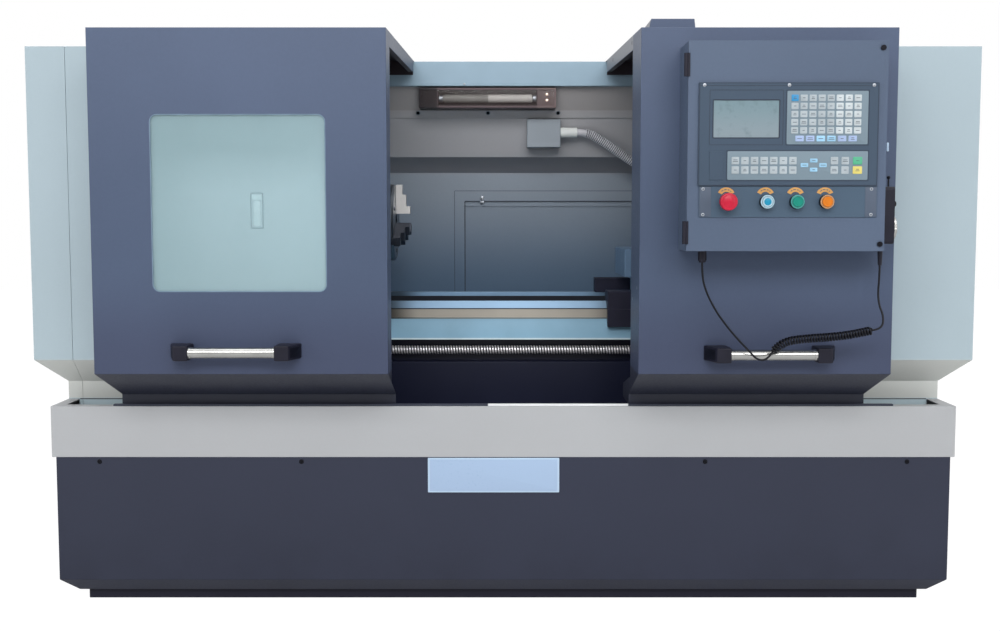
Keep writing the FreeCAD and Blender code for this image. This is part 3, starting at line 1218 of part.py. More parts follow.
# ----------------------------------------------------------------------------------------
# Control box, its door and what is on it
# ----------------------------------------------------------------------------------------
def make_control_box():
    door_back = "box_front + box_door_sheet"
    outside = box("box_outside", ("box_left", "box_right"), (door_back, "door_front"),
                  ("box_bottom", "box_top"))
    inside = box("box_inside", ("box_left + sheet", "box_right - sheet"),
                 (f"{door_back} - 1", "door_front - sheet"),
                 ("box_bottom + sheet", "box_top - sheet"))
    keep("control_box", cut("box_shell", outside, inside))

    plate = box("door_plate", ("box_left + slide_gap", "box_right"),
                ("box_front", f"{door_back} - slide_gap"), ("box_bottom", "box_top"))
    window = box("unit_window", ("unit_left + unit_body_inset - hole_gap",
                                 "unit_left + unit_width - unit_body_inset + hole_gap"),
                 ("box_front - 1", f"{door_back} + 1"),
                 ("unit_bottom + unit_body_inset - hole_gap",
                  "unit_bottom + unit_height - unit_body_inset + hole_gap"))
    holes = [rod(f"{word}_hole", "Y", f"{radius} + hole_gap", ("box_front - 1", f"{door_back} + 1"),
                 (x, level)) for word, x, level, radius in PANEL_HOLES]
    keep("control_box_door", cut("door_plate_holed", plate, window, *holes))

    knuckles = [rod(f"hinge_{word}", "Z", "hinge_radius", about(level, "hinge_length"),
                    ("box_left - hinge_reach", "box_front"))
                for word, level in (("upper", "upper_hinge_level"),
                                    ("lower", "lower_hinge_level"))]
    leaves = [box(f"hinge_leaf_{word}", ("box_left - hinge_reach", "box_left + hinge_leaf_reach"),
                  ("box_front - hinge_leaf", "box_front"), about(level, "hinge_length"))
              for word, level in (("upper", "upper_hinge_level"),
                                  ("lower", "lower_hinge_level"))]
    hinges = [fuse(f"hinge_{index}", knuckle, leaf)
              for index, (knuckle, leaf) in enumerate(zip(knuckles, leaves))]
    keep("control_box_hinges", group("box_hinges", *hinges))

    for word in ("upper", "lower"):
        x, level = f"{word}_lock_x", f"{word}_lock_level"
        head = rod(f"{word}_lock_head", "Y", "lock_radius",
                   ("box_front - lock_proud", "box_front - slide_gap / 3"), (x, level))
        cam_front = f"{door_back} + lock_cam_gap"
        cam_back = f"{cam_front} + lock_cam_thickness"
        shaft = rod(f"{word}_lock_shaft", "Y", "lock_shaft_radius", ("box_front - 1", cam_back),
                    (x, level))
        cam = box(f"{word}_lock_cam", (f"{x} - lock_shaft_radius", f"{x} + lock_shaft_radius"),
                  (cam_front, cam_back), about(level, "2 * lock_cam_length"))
        keep(f"{word}_lock", fuse(f"{word}_lock_whole", head, shaft, cam))


PANEL_HOLES = [
    ("stop", "stop_x", "switch_level", "stop_stem_radius"),
    ("first_button", "first_button_x", "switch_level", "button_radius"),
    ("second_button", "second_button_x", "switch_level", "button_radius"),
    ("third_button", "third_button_x", "switch_level", "button_radius"),
    ("upper_lock", "upper_lock_x", "upper_lock_level", "lock_shaft_radius"),
    ("lower_lock", "lower_lock_x", "lower_lock_level", "lock_shaft_radius"),
]


def panel_block(name, left, width, bottom, height, front, back):
    return box(name, from_start(left, width), (front, back), from_start(bottom, height))


def make_controller():
    bezel = panel_block("unit_bezel", "unit_left", "unit_width", "unit_bottom", "unit_height",
                        "unit_front", "box_front")
    back = box("unit_body", ("unit_left + unit_body_inset",
                             "unit_left + unit_width - unit_body_inset"),
               ("box_front", "box_front + unit_body_depth"),
               ("unit_bottom + unit_body_inset", "unit_bottom + unit_height - unit_body_inset"))
    raised = [panel_block(f"{word}_field", f"{word}_left", f"{word}_width", f"{word}_bottom",
                          f"{word}_height", "unit_front - keypad_proud", "unit_front")
              for word in ("keypad", "panel")]
    port = panel_block("port_cover", "port_cover_left", "port_cover_width", "panel_bottom",
                       "panel_height", "unit_front - port_cover_proud", "unit_front")
    recess = panel_block("screen_pocket", "screen_left - slide_gap",
                         "screen_width + 2 * slide_gap", "screen_bottom - slide_gap",
                         "screen_height + 2 * slide_gap", "unit_front - 1",
                         "unit_front + screen_recess")
    keep("controller_unit", cut("unit_recessed", fuse("unit_whole", bezel, back, *raised, port),
                                recess))
    keep("screen", panel_block("screen_panel", "screen_left", "screen_width", "screen_bottom",
                               "screen_height", "unit_front + screen_recess - screen_thickness",
                               "unit_front + screen_recess"))


def make_keys():
    field = "unit_front - keypad_proud"
    front = f"{field} - key_thickness"

    def key(name, x, level, width, height):
        return box(name, about(x, width), (front, field), about(level, height))
    keys = [key(f"key_{row}_{column}", f"key_left + {column} * key_pitch",
                f"key_top - {row} * key_row_pitch", "key_width", "key_height")
            for row in range(5) for column in range(8)]
    keys += [key(f"wide_key_{column}", f"wide_key_left + {column} * wide_key_pitch",
                 "wide_key_level", "wide_key_width", "wide_key_height") for column in range(6)]
    keys += [key(f"panel_key_{row}_{column}",
                 f"panel_key_left + {column} * panel_key_pitch",
                 f"panel_key_top - {row} * panel_key_drop", "panel_key_size",
                 "panel_key_size") for row in range(2) for column in range(7)]
    keys += [key(f"arrow_key_{index}", f"arrow_middle + {across} * arrow_reach",
                 f"arrow_level + {up} * arrow_rise", "arrow_key_width", "arrow_key_height")
             for index, (across, up) in enumerate(((0, 1), (-1, 0), (1, 0), (0, -1)))]
    keys += [key(f"right_key_{row}_{column}",
                 f"right_key_left + {column} * right_key_pitch",
                 f"panel_key_top - {row} * panel_key_drop", "panel_key_size",
                 "panel_key_size") for row in range(2) for column in range(2)]
    keys += [key(f"start_key_{row}", "start_key_x", f"panel_key_top - {row} * panel_key_drop",
                 "start_key_size", "panel_key_size") for row in range(2)]
    keep("control_keys", group("keys", *keys))


def make_switches():
    plate = panel_block("switch_plate_block", "switch_plate_left", "switch_plate_width",
                        "switch_plate_bottom", "switch_plate_height", "plate_front",
                        "box_front")
    rings = [rod(f"{word}_ring", "Y", "button_ring_radius",
                 ("plate_front - button_ring_proud", "plate_front"),
                 (f"{word}_button_x", "switch_level")) for word in ("first", "second", "third")]
    bores = [rod(f"{word}_bore", "Y", f"{radius} + hole_gap",
                 ("plate_front - button_ring_proud - 1", "box_front + 1"), (x, level))
             for word, x, level, radius in PANEL_HOLES[:4]]
    keep("switch_plate", cut("switch_plate_bored", fuse("switch_plate_ringed", plate, *rings),
                             *bores))

    rim = "plate_front - stop_proud"
    outline = [(rim, "0"), (rim, "stop_radius - stop_round"),
               (f"{rim} + stop_round", "stop_radius"),
               (f"{rim} + stop_head", "stop_radius"),
               (f"{rim} + stop_head", "stop_stem_radius"),
               ("box_front + button_depth", "stop_stem_radius"),
               ("box_front + button_depth", "0")]
    keep("emergency_stop", turned("stop_mushroom", "Y", outline, ("stop_x", "switch_level")))
    for word, node in (("first", "white_button"), ("second", "green_button"),
                       ("third", "orange_button")):
        keep(node, rod(f"{word}_pusher", "Y", "button_radius",
                       ("plate_front - button_proud", "box_front + button_depth"),
                       (f"{word}_button_x", "switch_level")))


def make_panel_screws():
    left = "unit_left + panel_screw_inset"
    middle = "unit_left + unit_width / 2"
    right = "unit_left + unit_width - panel_screw_inset"
    plate_top = "switch_plate_bottom + switch_plate_height"
    rows = [("unit_bottom + unit_height - panel_screw_edge", "unit_front", (left, middle, right)),
            (f"{plate_top} - panel_screw_edge", "plate_front", (left, right)),
            ("switch_plate_bottom + panel_screw_edge", "plate_front", (left, right))]
    screws = [rod(f"panel_screw_{row}_{index}", "Y", "panel_screw_radius",
                  (f"{front} - panel_screw_proud", front), (x, level))
              for row, (level, front, places) in enumerate(rows)
              for index, x in enumerate(places)]
    keep("panel_screws", group("panel_screw_heads", *screws))


# ----------------------------------------------------------------------------------------
# Hand pulse pendant and its curly cord
# ----------------------------------------------------------------------------------------
def make_pendant():
    case = prism("pendant_case", "YZ", [
        ("pendant_front", "pendant_bottom"),
        ("pendant_front + pendant_width", "pendant_bottom"),
        ("pendant_front + pendant_width", "pendant_bottom + pendant_height"),
        ("pendant_front", "pendant_bottom + pendant_height")],
        ("box_right", "pendant_right"), "pendant_corner")
    hook = box("pendant_hook", ("box_right", "box_right + hook_thickness"),
               about("pendant_middle", "pendant_width / 3"),
               from_start("pendant_bottom + pendant_height", "hook_height"))
    relief = turned("pendant_relief", "Z", [
        ("relief_bottom", "0"), ("relief_bottom", "relief_radius - relief_taper"),
        ("pendant_bottom", "relief_radius"), ("pendant_bottom", "0")],
        ("relief_x", "relief_depth"))
    keep("pendant_body", fuse("pendant_whole", case, hook, relief))
    keep("pendant_dial", rod("dial_disc", "X", "dial_radius",
                             ("pendant_right + slide_gap",
                              "pendant_right + slide_gap + dial_thickness"),
                             ("pendant_middle", "dial_level")))
    keep("pendant_selector", rod("selector_knob", "X", "selector_radius",
                                 ("pendant_right + slide_gap",
                                  "pendant_right + slide_gap + selector_length"),
                                 ("pendant_middle", "selector_level")))


LEAD_POINTS = [  # from the strain relief to the first curl
    (880, -822, 893), (880, -822, 862), (877, -823, 829), (878.5, -829, 799),
    (886, -839, 776), (881, -849.28, 747.6), (863, -850, 744),
]
CURL_POINTS = [  # the line that the curls are wound about
    (863, -850, 744), (838, -851, 739), (802, -852, 732), (757, -852, 727),
    (707, -852, 724), (664, -852, 719), (638, -852, 707), (622, -852, 687),
]
TAIL_POINTS = [  # from the last curl to the plug
    (622, -852, 687), (610, -852, 672), (590, -850, 674), (572, -846, 694),
    (545, -843, 722), (517, -841, 755), (490, -839, 794), (469, -837, 838), (462, -835, 873),
    (462, -835, 900),
]


def cord_tube(node, places):
    """A round cord along straight runs and tangent arcs."""
    edges, radii = rounded_route([Vector(*place_now) for place_now in places])
    route = Route(edges)
    start, heading = route.at(0)
    ring = Part.Wire([Part.Circle(start, heading, number("cord_radius")).toShape()])
    solid = Part.Wire(edges).makePipeShell([ring], True, False)
    straight = math.pi * number("cord_radius") ** 2 * route.length
    print(node, "length", round(route.length, 1), "radii", [round(r, 1) for r in radii],
          "volume over section times length", round(solid.Volume / straight, 4))
    cord = document.addObject("Part::Feature", node)
    cord.Shape = solid
    keep(node, cord)


def biarc(start, start_heading, end, end_heading):
    """Two arcs that leave one point and meet the next in the given headings."""
    chord = end - start
    headings = start_heading + end_heading
    spread = 2 * (1 - start_heading.dot(end_heading))
    reach = chord.dot(headings)
    if spread < 1e-9:
        size = chord.Length / 4 if reach < 1e-9 else chord.dot(chord) / (2 * reach)
    else:
        size = (-reach + math.sqrt(reach ** 2 + 2 * spread * chord.dot(chord) / 2)) / spread
    joint = (start + start_heading * size + end - end_heading * size) * 0.5
    return [arc_from(start, start_heading, joint), arc_from(end, end_heading * -1, joint)]


def arc_from(start, heading, end):
    """The arc that leaves start along heading and reaches end; a line where it is straight."""
    chord = end - start
    along = Vector(chord).normalize()
    aside = heading - along * heading.dot(along)
    if aside.Length < 1e-7:
        return Part.LineSegment(start, end).toShape()
    half = heading.getAngle(chord)
    bulge = aside.normalize() * (chord.Length / 2 * math.tan(half / 2))
    return Part.Arc(start, (start + end) * 0.5 + bulge, end).toShape()


def make_curly_cord():
    edges, radii = rounded_route([Vector(*place_now) for place_now in CURL_POINTS])
    print("curl line radii", [round(radius, 1) for radius in radii])
    route = Route(edges)
    straight_end = 2 * number("cord_radius")
    wound = route.length - 2 * straight_end
    turns = int(wound / number("curl_pitch"))
    steps = 4 * turns

    # A frame carried along the line without twist, one for each fine step.
    fine = 24
    places, headings, sides = [], [], []
    side = None
    for index in range(turns * fine + 1):
        place_now, heading = route.at(straight_end + wound * index / (turns * fine))
        if side is None:
            side = heading.cross(Vector(0, 1, 0)).normalize()
        side = (side - heading * side.dot(heading)).normalize()
        places.append(place_now)
        headings.append(heading)
        sides.append(Vector(side))

    def on_curl(index):
        """The wire's middle at a fine step: the winding opens and closes over one turn."""
        turn = index / fine
        opening = min(1.0, turn, turns - turn)
        opening = opening * opening * (3 - 2 * opening)
        angle = 2 * math.pi * turn
        across = headings[index].cross(sides[index])
        return (places[index] + sides[index] * (math.cos(angle) * number("curl_radius") * opening)
                + across * (math.sin(angle) * number("curl_radius") * opening))

    wire_middle = [on_curl(index) for index in range(turns * fine + 1)]
    stride = fine // 4
    knots = [wire_middle[index * stride] for index in range(steps + 1)]
    knot_headings = []
    for index in range(steps + 1):
        middle = index * stride
        low, high = max(middle - 1, 0), min(middle + 1, turns * fine)
        knot_headings.append((wire_middle[high] - wire_middle[low]).normalize())
    knot_headings[0] = Vector(headings[0])
    knot_headings[-1] = Vector(headings[-1])
    path = [Part.LineSegment(route.at(0)[0], knots[0]).toShape()]
    for index in range(steps):
        path += biarc(knots[index], knot_headings[index], knots[index + 1],
                      knot_headings[index + 1])
    path.append(Part.LineSegment(knots[-1], route.at(route.length)[0]).toShape())
    wire = Part.Wire(Part.__sortEdges__(path))
    start, heading = route.at(0)
    ring = Part.Wire([Part.Circle(start, heading, number("cord_radius")).toShape()])
    solid = wire.makePipeShell([ring], True, False)
    straight = math.pi * number("cord_radius") ** 2 * wire.Length

    least = min((wire_middle[first] - wire_middle[second]).Length
                for first in range(0, len(wire_middle), 2)
                for second in range(first + fine // 2, min(first + 4 * fine, len(wire_middle))))
    print("curly cord turns", turns, "wire length", round(wire.Length, 1),
          "least gap to itself", round(least - 2 * number("cord_radius"), 2),
          "volume over section times length", round(solid.Volume / straight, 4))
    cord = document.addObject("Part::Feature", "curly_cord")
    cord.Shape = solid
    keep("curly_cord", cord)


def make_cord():
    cord_tube("cord_lead", LEAD_POINTS)
    make_curly_cord()
    cord_tube("cord_tail", TAIL_POINTS)
    x, depth, level = TAIL_POINTS[-1]
    plug = turned("plug_body", "Z", [
        (str(level), "0"), (str(level), "plug_radius - plug_taper"),
        (f"{level} + plug_nose", "plug_radius"), ("box_bottom", "plug_radius"),
        ("box_bottom", "0")], (str(x), str(depth)))
    keep("cord_plug", plug)


# ----------------------------------------------------------------------------------------
# Build, check and write
# ----------------------------------------------------------------------------------------
def check_and_write():
    document.recompute()
    for feature in document.Objects:
        faults = [state for state in feature.State if state in ("Invalid", "Error")]
        if faults:
            raise RuntimeError(f"{feature.Label} failed: {faults}")
    os.makedirs("parts", exist_ok=True)
    for node, feature in nodes.items():
        shape = feature.Shape
        if shape.isNull() or not shape.isValid():
            raise RuntimeError(f"{node} has no sound shape")
    for node, feature in nodes.items():
        feature.Shape.exportStep(f"parts/{node}.step")
    print(len(nodes), "sub-parts written")


make_plinth()
make_base()
make_tray()
make_covers()
make_rear_wall()
make_lamp()
make_junction_boxes()
make_conduit()
make_bed()
make_feed_drive()
make_headstock()
make_chuck()
make_carriage()
make_cross_slide()
make_tailstock()
make_doors()
make_handle("left")
make_handle("right")
make_duct()
make_control_box()
make_controller()
make_keys()
make_switches()
make_panel_screws()
make_pendant()
make_cord()
check_and_write()
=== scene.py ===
# %% [markdown]
# # A turning lathe, finished for a still picture
#
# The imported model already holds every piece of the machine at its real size. This lesson
# gives those pieces the looks of the real ones: folded sheet with eased edges, powder coat,
# ground steel, a curly cord and a keypad. Everything is in metres, X to the right, Y away
# from the operator and Z up.

import json
import math
from contextlib import contextmanager

import bmesh
import bpy
import numpy as np
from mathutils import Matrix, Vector


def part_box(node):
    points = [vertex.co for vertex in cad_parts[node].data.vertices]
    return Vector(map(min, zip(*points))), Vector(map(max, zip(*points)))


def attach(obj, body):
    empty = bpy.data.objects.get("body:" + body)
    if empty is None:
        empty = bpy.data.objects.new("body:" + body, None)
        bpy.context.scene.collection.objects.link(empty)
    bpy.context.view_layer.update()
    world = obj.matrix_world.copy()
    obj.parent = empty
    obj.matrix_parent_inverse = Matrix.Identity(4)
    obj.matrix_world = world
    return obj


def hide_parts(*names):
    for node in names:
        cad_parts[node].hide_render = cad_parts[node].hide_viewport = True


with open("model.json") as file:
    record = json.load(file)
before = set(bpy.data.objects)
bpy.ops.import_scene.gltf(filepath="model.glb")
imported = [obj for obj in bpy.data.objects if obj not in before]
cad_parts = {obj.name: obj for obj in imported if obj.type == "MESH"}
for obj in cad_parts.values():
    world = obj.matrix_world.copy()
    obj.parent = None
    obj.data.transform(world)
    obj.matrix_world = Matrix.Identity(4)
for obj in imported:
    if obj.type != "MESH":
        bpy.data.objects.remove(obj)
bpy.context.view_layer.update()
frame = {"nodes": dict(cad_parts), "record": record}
link = bpy.context.scene.collection.objects.link
RIGHT, BACK, UP = np.eye(3)
body_of_node = {node: body for body, nodes in frame["record"]["behaviour"]["bodies"].items()
                for node in nodes}
slot_of_node = {part["node"]: part["material_slot"] for part in frame["record"]["subparts"]}


def corners(node):
    """Lowest and highest corner of a node, as two arrays."""
    low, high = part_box(node)
    return np.array(low), np.array(high)


def middle(node):
    return sum(corners(node)) / 2


PACKED_MERGE, MERGE = 1e-6, 1e-7  # metres between points that are one


@contextmanager
def bmesh_of(mesh, merge=MERGE):
    """A mesh opened for bmesh, its doubled points merged, and freed afterwards."""
    work = bmesh.new()
    work.from_mesh(mesh)
    bmesh.ops.remove_doubles(work, verts=work.verts, dist=merge)
    yield work
    work.free()


def islands(node):
    """Lowest and highest corners of each separate solid in a node, from left to right."""
    with bmesh_of(frame["nodes"][node].data, PACKED_MERGE) as work:
        return sorted(island_boxes(work), key=lambda box: box[0][0])


def island_boxes(work):
    """The box of each set of points that edges join, found by spreading from one of them."""
    waiting = set(work.verts)
    while waiting:
        border = [waiting.pop()]
        island = list(border)
        while border:
            near = {edge.other_vert(vert) for vert in border for edge in vert.link_edges}
            border = list(near & waiting)
            waiting -= near
            island += border
        places = np.array([vert.co for vert in island])
        yield places.min(axis=0), places.max(axis=0)


# %% [markdown]
# ## Camera
#
# The eye stands 3.46 m in front of the plinth's middle, one metre above the floor, and looks
# down by 4.2 degrees. A lens of 40.6 mm gives the width of the view, and a small shift puts
# the horizon where it belongs. These numbers were worked out from the tray's and the base's
# edges, whose real places are known.

# %% Camera
camera_data = bpy.data.cameras.new("camera")
camera_data.lens = 40.6
camera_data.shift_x = 0.001
camera_data.shift_y = -0.0167
camera = bpy.data.objects.new("camera", camera_data)
camera.location = (-0.011, -3.460, 1.008)
camera.rotation_euler = (math.radians(90 - 4.2), 0, 0)
link(camera)
bpy.context.scene.camera = camera
print("view:", round(math.degrees(camera_data.angle), 1), "degrees wide")


# %% [markdown]
# ## Writing a finish as arithmetic
#
# A finish is a recipe of numbers that change over the surface. It could be wired node by
# node, but arithmetic is easier to read: `Signal` wraps one output of a node, so that a mask
# can be written as `1 - grain * 0.4`. `Recipe` adds any other node, and `Finish` is the
# recipe of one material.

# %% Signals
class Signal:
    """One output of a node; arithmetic on it adds Math nodes."""

    def __init__(self, recipe, socket):
        self.recipe, self.socket = recipe, socket

    def __add__(self, other):
        return self.recipe.math("ADD", self, other)

    def __sub__(self, other):
        return self.recipe.math("SUBTRACT", self, other)

    def __rsub__(self, other):
        return self.recipe.math("SUBTRACT", other, self)

    def __mul__(self, other):
        return self.recipe.math("MULTIPLY", self, other)

    __radd__, __rmul__ = __add__, __mul__

    def swing(self, amount):
        """A signal from 0 to 1 moved to swing about 0, by half the amount each way."""
        return (self - 0.5) * amount

    def step(self, low, high):
        """Rises smoothly from 0 at low to 1 at high."""
        return self.recipe.node("ShaderNodeMapRange", {"interpolation_type": "SMOOTHSTEP"},
                                {"Value": self, "From Min": low, "From Max": high})

    def past(self, level, blur):
        """0 below a level and 1 above it, with an edge that is blurred by so much each way."""
        return self.step(level - blur, level + blur)


class Recipe:
    """The nodes of one material or sky."""

    def __init__(self, tree):
        self.tree = tree

    def node(self, kind, settings=None, inputs=(), out=0):
        """Any node: its settings first, then the values or signals of its sockets."""
        made = self.tree.nodes.new(kind)
        for word, value in (settings or {}).items():
            setattr(made, word, value)
        pairs = inputs.items() if isinstance(inputs, dict) else enumerate(inputs)
        for socket, value in pairs:
            if isinstance(value, Signal):
                self.tree.links.new(value.socket, made.inputs[socket])
            else:
                made.inputs[socket].default_value = value
        return Signal(self, made.outputs[out])

    def math(self, operation, *values):
        return self.node("ShaderNodeMath", {"operation": operation}, values)


# %% Finishes
finishes = {}


def linear(colour, factor=1.0):
    """A colour in a picture's 0 to 255 numbers, made linear and multiplied by a factor. A
    signal, or a colour that is linear already and so has four numbers, stays as it is."""
    if isinstance(colour, Signal) or len(colour) == 4:
        return colour
    share = np.array(colour) / 255
    curve = np.where(share <= 0.04045, share / 12.92, ((share + 0.055) / 1.055) ** 2.4)
    return (*(curve * factor).tolist(), 1.0)


class Finish(Recipe):
    """A material with its one shader; pieces ask for it by name."""

    def __init__(self, name, **constants):
        material = finishes[name] = bpy.data.materials.new(name)
        material.use_nodes = True
        super().__init__(material.node_tree)
        self.shader = self.tree.nodes["Principled BSDF"]
        self.place = self.node("ShaderNodeTexCoord", out="Object")
        for socket, value in constants.items():
            self.shader.inputs[socket.replace("_", " ")].default_value = value

    def vector(self, operation, *values, out=0):
        return self.node("ShaderNodeVectorMath", {"operation": operation}, values, out)

    def noise(self, scale, detail, stretch=(1, 1, 1)):
        """Cloudy noise, scale to the metre; stretch draws it out where it is under 1."""
        place = self.vector("MULTIPLY", self.place, stretch)
        return self.node("ShaderNodeTexNoise", {},
                         {"Vector": place, "Scale": scale, "Detail": detail})

    def axis(self, letter, vector=None):
        """One coordinate of the point being shaded, or of another vector."""
        return self.node("ShaderNodeSeparateXYZ", {}, (vector or self.place,), out=letter)

    def scale(self, colour, factor):
        """A colour made lighter or darker by a changing factor."""
        colour = linear(colour)
        vector = colour if isinstance(colour, Signal) else colour[:3]
        return self.node("ShaderNodeVectorMath", {"operation": "SCALE"},
                         {"Vector": vector, "Scale": factor})

    def mix(self, mask, first, second):
        """The first colour where the mask is 0 and the second where it is 1."""
        return self.node("ShaderNodeMix", {"data_type": "RGBA"},
                         {0: mask, 6: linear(first), 7: linear(second)}, out=2)

    def bands(self, letter, first, *rest):
        """Colours that follow each other along an axis, each from its own level up."""
        place, colour = self.axis(letter), first
        for level, blur, following in rest:
            colour = self.mix(place.past(level, blur), colour, following)
        return colour

    def coat(self, colour, roughness, height, depth, strength=1.0, **more):
        """Give the shader its colour and roughness, and light it as if a height from 0 to 1
        stood that many metres deep."""
        relief = self.node("ShaderNodeBump", {},
                           {"Strength": strength, "Distance": depth, "Height": height})
        signals = {"Base Color": colour, "Roughness": roughness, "Normal": relief, **more}
        for socket, signal in signals.items():
            self.tree.links.new(signal.socket, self.shader.inputs[socket])


# %% [markdown]
# ## Paint
#
# The sheets are powder coated: fine orange peel a few millimetres across, a slightly uneven
# sheen, and a colour that wanders by a few percent. Noise at the real scale gives all three,
# and stays sharp from near by. A sheet's colour also changes at the level of a fold, past which
# it faces another way, and along its height: that is painted light and shade. Dust can darken
# a sheet up to a height above the floor. The faces under the doors' roofs are painted shade.

# %% Paints
CLOUD, SPECK, PEEL = 2.1, 160, 330  # grains to the metre
ROOF_EDGE_FOOT, ROOF_EDGE_FRONT = 1.405, -0.612


def powder_coat(name, colour, roughness, peel=0.35, wander=0.10, dust_height=None, bands=(),
                letter="Z", extra=None):
    """Powder coated sheet. Peel is how strong its orange peel is, and wander how far its colour
    strays; bands follow each other along letter, and extra may add painted light and shade."""
    finish = Finish(name, Specular_IOR_Level=0.25)
    cloud, speck = finish.noise(CLOUD, 4), finish.noise(SPECK, 2)
    tone = cloud * 0.75 + speck * 0.25
    painted = finish.scale(finish.bands(letter, colour, *bands), tone.swing(4 * wander) + 1)
    if dust_height:
        low_down = 1 - finish.axis("Z").step(0, dust_height)
        dust = low_down * finish.noise(9, 5).step(0.35, 0.75)
        painted = finish.scale(painted, 1 - dust * 0.15)
    if extra:
        painted = extra(finish, painted)
    finish.coat(painted, speck.swing(0.18) + cloud.swing(0.16) + roughness,
                finish.noise(PEEL, 2.5), 0.0006 * peel, 0.5)


def painted_roof_light_and_shade(finish, painted):
    """Painted shade on the faces that look down, and painted light on the left side of the roof's
    edge.
    """
    facing = finish.node("ShaderNodeNewGeometry", out="True Normal")
    down = finish.axis("Z", facing).step(-0.99, -0.97)
    left = 1 - finish.axis("X", facing).step(-0.97, -0.9)
    above = finish.axis("Z").step(ROOF_EDGE_FOOT, ROOF_EDGE_FOOT + 0.005)
    behind = finish.axis("Y").step(ROOF_EDGE_FRONT, ROOF_EDGE_FRONT + 0.008)
    edge = left * above * behind
    return finish.mix(down, (40, 33, 40), finish.mix(edge, painted, (134, 138, 148)))


SKIRT_TOP, DOOR_FOLD, COVER_FOLD = 0.524, 0.629, 0.634
UNDER_FOLD, BAND_FOLD, PANEL_FOOT, PANEL_FOLD, FASCIA_FOOT = 1.151, 1.200, 1.322, 1.345, 1.414
CRISP, SOFT = 0.002, 0.003
# Painted shade and reflection on the doors: the skirt below the fold is dark as painted shade, and
# the door grows lighter upwards as a painted reflection.
powder_coat("door_paint", (42, 45, 58), 0.42, extra=painted_roof_light_and_shade, bands=[
    (DOOR_FOLD, SOFT, (60, 68, 91)), (0.78, 0.12, (68, 80, 103)), (1.15, 0.25, (76, 88, 112))])
# Painted light and shade on the covers: the apron below the skirt's top, the skirt up to the fold
# and the sheet above the fold each get their own colour from how light falls on them.
powder_coat("cover_paint", (178, 196, 204), 0.45, wander=0.04, bands=[
    (SKIRT_TOP, SOFT, (193, 196, 193)), (COVER_FOLD, SOFT, (164, 180, 188))])
# Painted shade and light on the rear wall: darker low down, then its own colour for each fold, as
# each faces the light another way.
powder_coat("wall_paint", (98, 122, 148), 0.40, wander=0.06, bands=[
    (0.95, 0.2, (156, 166, 178)), (UNDER_FOLD, 0.01, (160, 158, 162)),
    (BAND_FOLD, CRISP, (184, 184, 188)), (PANEL_FOOT, CRISP, (196, 194, 196)),
    (PANEL_FOLD, CRISP, (180, 176, 176)), (FASCIA_FOOT, CRISP, (150, 175, 190))])

# The two junction boxes, the lamp's shell and its tube change along X instead. The boxes
# are light up to the pale connector and darker past it, painted light and shade: a lit side
# before a shaded one. The lamp's shell grows lighter in two steps to the right, and its tube
# is paler over its right half.
powder_coat("box_shell_grey", (158, 167, 176), 0.4, 0.4, 0.03, letter="X", bands=[
    (0.1865, 0.0005, (242, 246, 244)), (0.4, 0.1, (120, 128, 136))])
powder_coat("lamp_shell", (38, 32, 37), 0.4, 0.4, 0.12, letter="X", bands=[
    (-0.205, 0.004, (92, 78, 82)), (0.11, 0.01, (112, 96, 96))])
powder_coat("lamp_white", (158, 156, 152), 0.3, 0.1, 0.05, letter="X", bands=[
    (-0.045, 0.002, (226, 222, 218))])

for name, colour, *amounts in [  # amounts: roughness, peel, wander, dust height
        # The first row, the roof hem, is dark as painted shadow of the roof.
        ("roof_primer", (48, 40, 47), 0.6), ("box_paint", (78, 91, 112), 0.40),
        ("tray_paint", (168, 170, 173), 0.42, 0.35, 0.04),
        ("base_paint", (44, 48, 64), 0.44, 0.35, 0.10, 0.3),
        ("plinth_paint", (27, 27, 42), 0.5, 0.35, 0.10, 0.06),
        ("casting_paint", (126, 160, 182), 0.36, 1.6, 0.06),
        ("post_paint", (102, 128, 156), 0.4, 1.2), ("unit_paint", (57, 72, 89), 0.5, 0.25, 0.05),
        ("port_black", (34, 40, 50), 0.45, 0.2, 0.05), ("unit_line", (44, 52, 66), 0.5, 0.25, 0.05),
        ("field_film", (112, 129, 140), 0.42, 0.15, 0.03),
        ("switch_film", (66, 84, 102), 0.42, 0.2, 0.05),
        ("strip_film", (76, 86, 102), 0.42, 0.2, 0.05),
        ("pale_plate", (158, 180, 208), 0.3, 0.1, 0.02),
        ("pale_border", (176, 198, 220), 0.3, 0.1, 0.02)]:
    powder_coat(name, colour, *amounts)
print(len(finishes), "paints")


# %% [markdown]
# ## Metal, plastic, rubber and glass
#
# Ground steel is streaked along the way it was ground, so its noise is drawn out along X.
# Turned steel has rings about its axis instead, which come from the distance to that axis.
# Plastic and rubber have the even, fine grain of their mould, and glass a faint smear. Each
# kind is one function, and its finishes are one row each: a name, a colour and amounts.

# %% Metals
def ground_metal(name, colour, roughness, streak=900, drawn=0.02, depth=0.00006):
    """Metal with so many streaks to the metre, drawn out along X where drawn is under 1."""
    finish = Finish(name, Metallic=1.0)
    streaks, stain = finish.noise(streak, 3, (drawn, 1, 1)), finish.noise(14, 4)
    finish.coat(finish.mix(stain.step(0.35, 0.75), colour, linear(colour, 0.86)),
                streaks.swing(0.22) + stain.swing(0.12) + roughness, streaks, depth)


def turned_metal(name, colour, roughness, centre, pitch):
    """Metal with fine rings, a pitch apart, about the line through centre along X."""
    finish = Finish(name, Metallic=1.0)
    from_centre = finish.vector("SUBTRACT", finish.place, tuple(centre))
    from_axis = finish.vector("MULTIPLY", from_centre, (0, 1, 1))
    turns = finish.vector("LENGTH", from_axis, out="Value") * (2 * math.pi / pitch)
    rings = finish.math("SINE", turns)
    grain, stain = finish.noise(700, 2), finish.noise(20, 4)
    finish.coat(finish.mix(stain.step(0.35, 0.7), colour, linear(colour, 0.82)),
                rings * 0.05 + grain.swing(0.2) + roughness, rings * 0.5 + 0.5, 0.00008)


